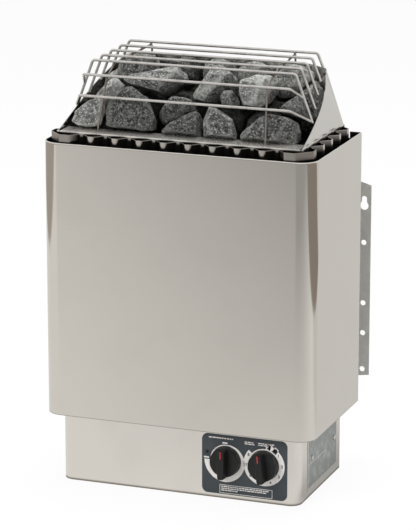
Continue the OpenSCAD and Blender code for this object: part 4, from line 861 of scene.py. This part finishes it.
# knobs: a round skirt with draft, and a grip bar whose outline is |x/a|^n + |z/b|^n = 1
knob = dict(radius=22 * mm, skirt=10.5 * mm, skirtDraft=0.6 * mm, round=0.8 * mm, roundSteps=(5, 7),
            gripBase=(6.4 * mm, 21.4 * mm), gripTop=(5.0 * mm, 21.2 * mm), gripSteps=9, power=7.0,
            topRound=1.0 * mm, topSteps=8, topFlat=(0.4, 0.9), segments=192, sharp=32)
pointer = dict(length=10.6 * mm, width=1.4 * mm, inset=1.1 * mm, rise=0.25 * mm, sunk=0.3 * mm, across=9,
               along=12, power=4, endSteep=12)


def outlineRadius(a, b):
    t = turnAngles(knob["segments"])
    n = knob["power"]
    return (np.abs(np.cos(t) / a) ** n + np.abs(np.sin(t) / b) ** n) ** (-1 / n)


def buildKnob(body, turn):
    low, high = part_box(body + "_knob")
    x, z = frontMiddle(body + "_knob")
    centre = (x, high.y, z)
    k, r, full = knob, knob["round"], high.y - low.y
    turn = math.radians(turn)
    right = np.array([math.cos(turn), 0, math.sin(turn)])
    upright = np.array([-math.sin(turn), 0, math.cos(turn)])
    upper = k["radius"] - k["skirtDraft"]
    foot = arc((k["radius"] - r, r), r, -90, 0, k["roundSteps"][0])
    brow = arc((upper - r, k["skirt"] - r), r, 0, 90, k["roundSteps"][1])
    skirt = np.concatenate([[(0, 0)], foot, brow, [(upper - 2 * r, k["skirt"])]])
    share = np.linspace(0, 1, k["gripSteps"])
    w = quarterAngles(k["topSteps"])[1:]
    halves = []
    for base, top, flat in zip(k["gripBase"], k["gripTop"], k["topFlat"]):
        halves.append(np.concatenate([base + share * (top - base), top - k["topRound"] * (1 - np.cos(w)),
                                      [flat * top]]))
    rise = k["skirt"] + share * (full - k["topRound"] - k["skirt"])
    rise = np.concatenate([rise, rise[-1] + k["topRound"] * np.sin(w), [full]])
    grip = np.stack([outlineRadius(a, b) for a, b in zip(*halves)])
    radius = np.concatenate([np.repeat(skirt[:, :1], k["segments"], 1), grip, np.zeros((1, k["segments"]))])
    height = np.concatenate([skirt[:, 1], rise, [full]])[:, None]
    addPiece(body + "_dial", ringStack(radius, height, centre, right, upright, (0, -1, 0)), "knob", body,
             [body + "_knob"], k["sharp"])
    # red inlay along the end of the grip, raised by rise sqrt(1 - v^power) across its width
    p = pointer
    v, s = np.linspace(-1, 1, p["across"])[None, :, None], np.linspace(0, 1, p["along"])[:, None, None]
    flat = np.array(centre) + v * right * p["width"] / 2
    flat = flat + upright * (k["radius"] - p["inset"] - s * p["length"])
    bulge = p["rise"] * np.sqrt(np.clip(1 - np.abs(v) ** p["power"], 0, 1))
    bulge = bulge * np.sqrt(np.clip(p["endSteep"] * s, 0, 1))
    front, back = flat - [0, full, 0] - bulge * [0, 1, 0], flat - [0, full - p["sunk"], 0]
    addPiece(body + "_dial_pointer", slab(front, back), "red", body, [body + "_pointer"])


buildKnob("thermostat", 0)
buildKnob("timer", 6)


# button: a plain round cap, its edge at radius r - e (1 - cos w) and height h - e (1 - sin w)
button = dict(round=0.5 * mm, roundSteps=7, flat=0.5, segments=40)


def buildButton():
    low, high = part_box("reset_button")
    x, z = frontMiddle("reset_button")
    r, out, edge = (high.x - low.x) / 2, high.y - low.y, button["round"]
    w = quarterAngles(button["roundSteps"])
    radius = np.concatenate([[0, r], r - edge * (1 - np.cos(w)), [button["flat"] * r, 0]])[:, None]
    height = np.concatenate([[0, 0], out - edge * (1 - np.sin(w)), [out, out]])[:, None]
    shell = ringStack(radius + np.zeros((1, button["segments"])), height, (x, high.y, z), (1, 0, 0),
                      (0, 0, 1), (0, -1, 0))
    addPiece("reset_cap", shell, "knob", "reset", ["reset_button"])


buildButton()
print("knobs and button")


# print on the panel, as thin raised shapes; angles run clockwise from the top
printed = dict(rise=0.06 * mm, sunk=0.02 * mm, inner=22.6 * mm, ringRows=4, thinSteps=40,
               heatAngles=(3, 92, 182, 270), heatRadii=(24.2 * mm, 28.0 * mm, 32.0 * mm, 33.0 * mm),
               heatThin=24.2 * mm, heatSteps=120, heatMarks=((-4, 25.6 * mm), (273, 30.0 * mm)),
               markSize=(7.6 * mm, 2.3 * mm), timeAngles=(13, 312), timeRadii=(31.0 * mm, 31.0 * mm),
               timeThin=24.6 * mm, timeSteps=130, flagAngles=(13, 36), flagSize=(7.0 * mm, 8.4 * mm),
               flagAt=28.8 * mm, paneAt=0.25, paneSize=(0.42, 0.26), numbers=8, numberFrom=53,
               numberStep=35.3, numberAt=27.0 * mm, numberSize=6.0 * mm, numberBold=0.16 * mm,
               numberRise=0.03 * mm, line=0.7 * mm, frame=(63.5 * mm, 8.0 * mm, 143.4 * mm, 21.0 * mm))
# rows of dashes, in mm: left end and foot of each row, its length, and the height of its dashes
dashRows = dict(seed=5, most=40, widths=(2.0, 5.5), gap=0.9,
                rows=((47, 89.6, 42, 1.7), (101.5, 88.0, 16, 1.5), (101.5, 85.4, 16, 1.5),
                      (122, 88.2, 27, 1.5), (122, 85.6, 27, 1.5), (66, 17.4, 75, 1.5),
                      (66, 14.6, 75, 1.5), (66, 11.8, 26, 1.5)))
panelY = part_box("control_panel")[0].y


def onPanel(x, z, rise):
    x, z = np.broadcast_arrays(x, z)
    return np.stack([x, np.full(x.shape, panelY - rise), z], -1)


def panelShape(x, z, rise=printed["rise"]):
    return slab(onPanel(x, z, rise), onPanel(x, z, -printed["sunk"]))


# ring sector: x = cx + r sin t, z = cz + r cos t, r from the inner to the outer radius at t
def dialSector(centre, degrees, outer):
    t, inner = np.radians(degrees)[:, None], printed["inner"]
    r = inner + np.linspace(0, 1, printed["ringRows"])[None, :] * (np.asarray(outer).reshape(-1, 1) - inner)
    return panelShape(centre[0] + r * np.sin(t), centre[1] + r * np.cos(t))


# ring of a dial: a wide stretch over the given angles, and a thin one that closes it
def dialRing(centre, angles, radii, thin, steps):
    wide = np.linspace(angles[0], angles[-1], steps)
    rest = np.linspace(angles[-1], angles[0] + 360, printed["thinSteps"])
    return [dialSector(centre, wide, np.interp(wide, angles, radii)),
            dialSector(centre, rest, np.full(len(rest), thin))]


def bar(x0, z0, x1, z1):
    return panelShape(np.array([[x0, x1], [x0, x1]]), np.array([[z0, z0], [z1, z1]]))


# rectangle turned to face a dial's centre
def flag(centre, degrees, at, width, height, rise=printed["rise"]):
    t = math.radians(degrees)
    across, along = np.meshgrid([-width / 2, width / 2], [at - height / 2, at + height / 2])
    x = centre[0] + along * math.sin(t) + across * math.cos(t)
    z = centre[1] + along * math.cos(t) - across * math.sin(t)
    return panelShape(x, z, rise)


# plain number made a mesh, then laid on the panel at a place
def numeral(text, centre, degrees):
    curve = bpy.data.curves.new("numeral", "FONT")
    curve.body, curve.size, curve.align_x, curve.align_y = text, printed["numberSize"], "CENTER", "CENTER"
    curve.extrude, curve.offset = printed["numberRise"], printed["numberBold"]
    item = addObject("numeral", curve)
    mesh = bpy.data.meshes.new_from_object(item.evaluated_get(bpy.context.evaluated_depsgraph_get()))
    bpy.data.objects.remove(item)
    points = meshPoints(mesh)
    t = math.radians(degrees)
    x = centre[0] + printed["numberAt"] * math.sin(t) + points[:, 0]
    z = centre[1] + printed["numberAt"] * math.cos(t) + points[:, 1]
    laid = np.stack([x, panelY - 2 * printed["rise"] - points[:, 2], z], 1)
    return laid, np.zeros((0, 4), int), [list(face.vertices) for face in mesh.polygons]


# row of plain dashes of uneven width
def dashes(x, z, length, height, rng):
    gap = dashRows["gap"] * mm
    widths = rng.uniform(*dashRows["widths"], dashRows["most"]) * mm
    ends = np.cumsum(widths + gap)
    return [bar(x + end - width - gap, z, x + end - gap, z + height)
            for width, end in zip(widths, ends) if end < length]


def buildPrint():
    p = printed
    heat, time = frontMiddle("thermostat_knob"), frontMiddle("timer_knob")
    ring = dialRing(heat, p["heatAngles"], p["heatRadii"], p["heatThin"], p["heatSteps"])
    w, h = p["markSize"]
    marks = [(heat[0] + r * math.sin(math.radians(a)), heat[1] + r * math.cos(math.radians(a)))
             for a, r in p["heatMarks"]]
    marks = [bar(x - w / 2, z, x + w / 2, z + h) for x, z in marks]
    addPiece("heat_print", joinShells(ring + marks), "white", "heater")
    ring = dialRing(time, p["timeAngles"], p["timeRadii"], p["timeThin"], p["timeSteps"])
    flags = [flag(time, a, p["flagAt"], *p["flagSize"]) for a in p["flagAngles"]]
    addPiece("time_print", joinShells(ring + flags), "white", "heater")
    angles = p["numberFrom"] + np.arange(p["numbers"]) * p["numberStep"]
    figures = [numeral(str(k + 1), time, a) for k, a in enumerate(angles)]
    w, h = p["flagSize"]
    panes = [flag(time, a, p["flagAt"] + s * h * p["paneAt"], w * p["paneSize"][0], h * p["paneSize"][1],
                  2 * p["rise"]) for a in p["flagAngles"] for s in (-1, 1)]
    addPiece("time_figures", joinShells(figures + panes), "inkAndShadow", "heater")
    x0, z0, x1, z1 = p["frame"]
    t = p["line"]
    edges = [bar(x0, z0, x1, z0 + t), bar(x0, z1 - t, x1, z1), bar(x0, z0 + t, x0 + t, z1 - t),
             bar(x1 - t, z0 + t, x1, z1 - t)]
    rng = np.random.default_rng(dashRows["seed"])
    rows = [piece for row in np.array(dashRows["rows"]) * mm for piece in dashes(*row, rng)]
    addPiece("panel_lines", joinShells(edges + rows), "white", "heater")


buildPrint()
print("panel print")


# screw heads: a dome of height 1 - share + share sqrt(1 - rho^power) with a cross let into it
screw = dict(head=2.5 * mm, domeShare=0.75, domePower=2.4, rings=26, segments=72, turn=0.4, slotWidth=0.15,
             slotReach=0.62, slotDepth=0.45, slotFlank=0.05, slotEnd=0.08, sharp=50)


def screwShell(centre, axis, r, shank, shankRadius):
    s = screw
    across = (0.0, 0.0, 1.0)
    rho = np.linspace(1, 0, s["rings"])[:, None]
    t = turnAngles(s["segments"])[None, :] + s["turn"]
    dome = 1 - s["domeShare"] + s["domeShare"] * np.sqrt(np.clip(1 - rho ** s["domePower"], 0, 1))
    x, y = np.abs(rho * np.cos(t)), np.abs(rho * np.sin(t))
    bladed = np.clip((s["slotWidth"] - np.minimum(x, y)) / s["slotFlank"], 0, 1)
    bladed = bladed * np.clip((s["slotReach"] - np.maximum(x, y)) / s["slotEnd"], 0, 1)
    top = s["head"] * (dome - s["slotDepth"] * bladed)
    foot = np.array([[0, -shank], [shankRadius, -shank], [shankRadius, 0], [r, 0]])
    spread = np.zeros((1, s["segments"]))
    radius = np.concatenate([foot[:, :1] + spread, r * rho + spread])
    height = np.concatenate([foot[:, 1:] + spread, top])
    return ringStack(radius, height, centre, across, np.cross(axis, across), axis)


def buildScrews(name, node, axis, shankRadius):
    shells = []
    along = axis.index(1)
    for triangles in solidsOf(node):
        corners = triangles.reshape(-1, 3)
        low, high = corners.min(0), corners.max(0)
        middle, size = (low + high) / 2, high - low
        r = np.delete(size, along).max() / 2
        middle[along] = high[along] - screw["head"]
        shells.append(screwShell(middle, axis, r, size[along] - screw["head"], shankRadius))
    addPiece(name, joinShells(shells), "screw", "heater", [node], screw["sharp"])


buildScrews("cover_screw_heads", "cover_screws", (1, 0, 0), 2 * mm)
buildScrews("panel_screw_heads", "panel_screws", (0, 1, 0), 2 * mm)
buildScrews("lock_screw_head", "lock_screw", (0, 1, 0), 2.5 * mm)


# cable gland: hexagon radius a / cos(t mod 60 - 30), then a ribbed dome nut with a round mouth
gland = dict(bore=6.5 * mm, thread=9.5 * mm, hexagon=11.7 * mm, dome=11.0 * mm, threadLength=10 * mm,
             hexHeight=8 * mm, chamfer=0.9 * mm, chamferHeight=0.8 * mm, domeHeight=14 * mm, neck=0.94,
             neckHeight=0.6 * mm, ribs=18, ribDepth=0.45 * mm, ribEnd=1 * mm, segments=180, mouth=3 * mm,
             mouthIn=0.8 * mm, mouthSteps=8, lipDepth=0.5 * mm, sharp=35)


def buildGland():
    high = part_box("cable_gland")[1]
    x, z = frontMiddle("cable_gland")
    g = gland
    t = turnAngles(g["segments"])
    hexagon = g["hexagon"] / np.cos(np.mod(t, math.pi / 3) - math.pi / 6)
    ribbed = g["dome"] - g["ribDepth"] * (0.5 - 0.5 * np.cos(g["ribs"] * t))
    chamfer = np.minimum(hexagon, g["hexagon"] + g["chamfer"])
    wall, mouth, rise = g["threadLength"], g["mouth"], g["chamferHeight"]
    hexEnd = wall + g["hexHeight"]
    end = hexEnd + g["domeHeight"]
    rings = [(g["bore"], 0.0), (g["thread"], 0.0), (g["thread"], wall), (chamfer, wall),
             (hexagon, wall + rise), (hexagon, hexEnd - rise), (chamfer, hexEnd),
             (g["dome"] * g["neck"], hexEnd), (ribbed, hexEnd + g["neckHeight"]),
             (ribbed, end - mouth - g["ribEnd"])]
    rings += [(g["dome"] - g["mouthIn"] - (1 - math.cos(a)) * mouth, end - mouth * (1 - math.sin(a)))
              for a in quarterAngles(g["mouthSteps"])]
    rings += [(g["bore"], end - g["lipDepth"]), (g["bore"], 0.0)]
    radius = np.stack([r + np.zeros(g["segments"]) for r, h in rings])
    height = np.array([h for r, h in rings])[:, None]
    shell = ringStack(radius, height, (x, high.y - end, z), (1, 0, 0), (0, 0, 1), (0, 1, 0))
    addPiece("gland_body", shell, "gland", "heater", ["cable_gland"], g["sharp"])


buildGland()


# side cover: a dark strip of painted shadow round it, a thin grey sheet on it, and a fine line across the
# sheet
coverSheet = dict(rise=0.08 * mm, sunk=0.05 * mm, shadowGap=0.6 * mm, inset=2.6 * mm, height=0.6 * mm, at=0.43,
                  reach=0.62)


def buildCoverSheet():
    c = coverSheet
    low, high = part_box("side_cover_plate")
    y0, y1, z0, z1 = low.y + c["inset"], high.y - c["inset"], low.z + c["inset"], high.z - c["inset"]
    line = z0 + c["at"] * (z1 - z0)
    lineEnd = y0 + c["reach"] * (y1 - y0)
    shadowGap = c["shadowGap"]
    # the dark strip round the cover is painted shadow of the gap at its edge
    areas = (("cover_shadow_line", "inkAndShadow", low.x, (low.y - shadowGap, high.y + shadowGap), (low.z - shadowGap, high.z + shadowGap)),
             ("cover_sheet", "cover", high.x, (y0, y1), (z0, z1)),
             ("cover_line", "white", high.x + c["rise"], (y0, lineEnd), (line, line + c["height"])))
    for name, finish, x, ys, zs in areas:
        y, z = np.meshgrid(ys, zs)
        front, back = [np.stack([np.full_like(y, x + d), y, z], -1) for d in (c["rise"], -c["sunk"])]
        addPiece(name, slab(front, back), finish, "heater")


buildCoverSheet()
print("screws, gland and side cover")

# finish of each CAD node that shows as it is
dressed = dict(
    box=["side_cover_plate"],
    sheet=["box_back", "base_plate", "deck_plate", "back_panel", "casing_stays", "grate_rails", "sensor_clip",
           "back_spacers"],
    chamber=["basket_walls"],
    plate=["basket_back"],
    element=["heating_element_front", "heating_element_middle", "heating_element_rear", "stone_grate"],
    brass=["star_link", "terminal_screws"],
    slate=["control_panel"],
    screw=["thermostat_spindle", "timer_spindle"],
    ceramic=["thermostat_body", "timer_body", "limiter_body", "terminal_block"],
    copper=["sensor_tubes"],
    lead=["supply_leads"],
    gland=["gland_nut"],
    zinc=["bracket_rail_left", "bracket_rail_right", "bracket_cross_bars", "hanger_hooks"],
)
for finish, members in dressed.items():
    for member in members:
        nodes[member].data.materials.clear()
        nodes[member].data.materials.append(finishes[finish])
print("finished CAD nodes:", sum(len(members) for members in dressed.values()))

# stage: a pale floor that shows white, and soft light from above and from the front left, where a lamp is
# its place, size and power
stage = dict(floor=40.0, floorTone=0.86, floorRough=0.9, floorShine=0.1, white=0.93, sky=0.5, horizon=0.74,
             skyTop=0.5, lampAim=(0, 0, 0.4), key=((-1.6, -2.6, 2.7), 2.0, 70.0),
             overhead=((0.1, 0.5, 3.0), 1.6, 80.0))
# how metal mirrors the floor: its tones, painted light and shade that only reflections show, and the edges of
# the paper
mirrored = dict(warm=(1.0, 0.985, 0.955), base=0.872, across=0.425, acrossEnd=-0.11, ahead=0.28,
                behind=-0.178, behindEnd=0.3, beside=0.5, besideSpan=(0.19, 0.27), besideFrom=(-0.01, 0.0),
                besideFront=(-0.12, -0.04), darkest=0.42, lightest=0.89, paperRight=1.25, paperLeft=-1.55,
                paperSlant=-0.45, paperEdge=0.06, paperBack=1.1, paperFade=0.2, beyond=(0.318, 0.272, 0.236),
                beyondLeft=(0.465, 0.42, 0.38))


# what metal mirrors from the floor, painted light and shade that only glossy rays see: level = base - across
# x + ahead y, brighter to the left and darker towards the front, less behind the object, less close beside it
# as a painted shadow, and dark past the edges of the paper
def mirroredFloor(tree):
    m = mirrored
    split = addNode(tree, "ShaderNodeSeparateXYZ", {0: objectPlace(tree)}).outputs
    x, y = split["X"], split["Y"]
    left = times(tree, addMath(tree, "MINIMUM", x, m["acrossEnd"]), -m["across"])
    ahead = times(tree, addMath(tree, "MINIMUM", y, 0.0), m["ahead"])
    level = plus(tree, plus(tree, left, ahead), m["base"])
    level = plus(tree, level, fade(tree, y, 0.0, m["behindEnd"], 0.0, m["behind"]))
    close = fade(tree, x, *m["besideSpan"], m["beside"] - 1, 0.0)
    close = times(tree, close, fade(tree, x, *m["besideFrom"]))
    close = times(tree, close, fade(tree, y, *m["besideFront"]))
    level = times(tree, level, plus(tree, close, 1.0))
    level = addMath(tree, "MINIMUM", addMath(tree, "MAXIMUM", level, m["darkest"]), m["lightest"])
    slant = addMath(tree, "SUBTRACT", x, times(tree, y, m["paperSlant"]))
    right = fade(tree, slant, m["paperRight"], m["paperRight"] + m["paperEdge"])
    far = fade(tree, x, m["paperLeft"], m["paperLeft"] - m["paperEdge"])
    nearer = fade(tree, y, m["paperBack"], m["paperBack"] + m["paperFade"], 1.0, 0.0)
    past = times(tree, addMath(tree, "MAXIMUM", right, far), nearer)
    grey = addNode(tree, "ShaderNodeVectorMath", {0: m["warm"], "Scale": level}, operation="SCALE").outputs[0]
    return mixColour(tree, past, grey, mixColour(tree, far, m["beyond"], m["beyondLeft"]))


# 1 where the camera, glass or metal looks at the stage, and 0 where the stage lights the object
def looking(tree, rays):
    seen = addMath(tree, "MAXIMUM", rays["Is Camera Ray"], rays["Is Transmission Ray"])
    return addMath(tree, "MAXIMUM", seen, rays["Is Glossy Ray"])


def buildFloor():
    half, tone = stage["floor"] / 2, stage["floorTone"]
    mesh = bpy.data.meshes.new("floor")
    corners = [(-half, -half, 0), (half, -half, 0), (half, half, 0), (-half, half, 0)]
    mesh.from_pydata(corners, [], [(0, 1, 2, 3)])
    material, tree, shader = startMaterial("paleFloor", {
        "Base Color": (tone, tone, tone, 1), "Roughness": stage["floorRough"],
        "Specular IOR Level": stage["floorShine"]})
    rays = addNode(tree, "ShaderNodeLightPath").outputs
    colour = mixColour(tree, rays["Is Glossy Ray"], (1, 1, 1), mirroredFloor(tree))
    glow = addNode(tree, "ShaderNodeEmission", {"Color": colour, "Strength": 1.0})
    share = addMath(tree, "MAXIMUM", times(tree, looking(tree, rays), stage["white"]), rays["Is Glossy Ray"])
    mixed = addNode(tree, "ShaderNodeMixShader", {0: share, 1: shader.outputs[0], 2: glow.outputs[0]})
    out = next(n for n in tree.nodes if n.type == "OUTPUT_MATERIAL")
    tree.links.new(mixed.outputs[0], out.inputs["Surface"])
    mesh.materials.append(material)
    floor = addObject("floor", mesh)


def buildSky():
    world = bpy.data.worlds.new("studio")
    world.use_nodes = True
    tree = world.node_tree
    tree.nodes.clear()
    rays = addNode(tree, "ShaderNodeLightPath").outputs
    strength = mapRange(tree, looking(tree, rays), 0.0, 1.0, stage["sky"], 1.0)
    way = addNode(tree, "ShaderNodeTexCoord").outputs["Generated"]
    height = addNode(tree, "ShaderNodeSeparateXYZ", {0: way}).outputs["Z"]
    dim = mapRange(tree, height, 0.0, stage["skyTop"], stage["horizon"] - 1, 0.0)
    strength = plus(tree, strength, times(tree, dim, rays["Is Glossy Ray"]))
    glow = addNode(tree, "ShaderNodeBackground", {"Color": (1, 1, 1, 1), "Strength": strength})
    out = tree.nodes.new("ShaderNodeOutputWorld")
    tree.links.new(glow.outputs[0], out.inputs["Surface"])
    bpy.context.scene.world = world


def addLamp(name):
    place, size, power = stage[name]
    data = bpy.data.lights.new(name, "AREA")
    data.shape, data.size, data.energy = "DISK", size, power
    lamp = addObject(name, data)
    lamp.visible_glossy = False
    aimAt(lamp, place, stage["lampAim"])


buildFloor()
buildSky()
addLamp("key")
addLamp("overhead")
print("stage and light")
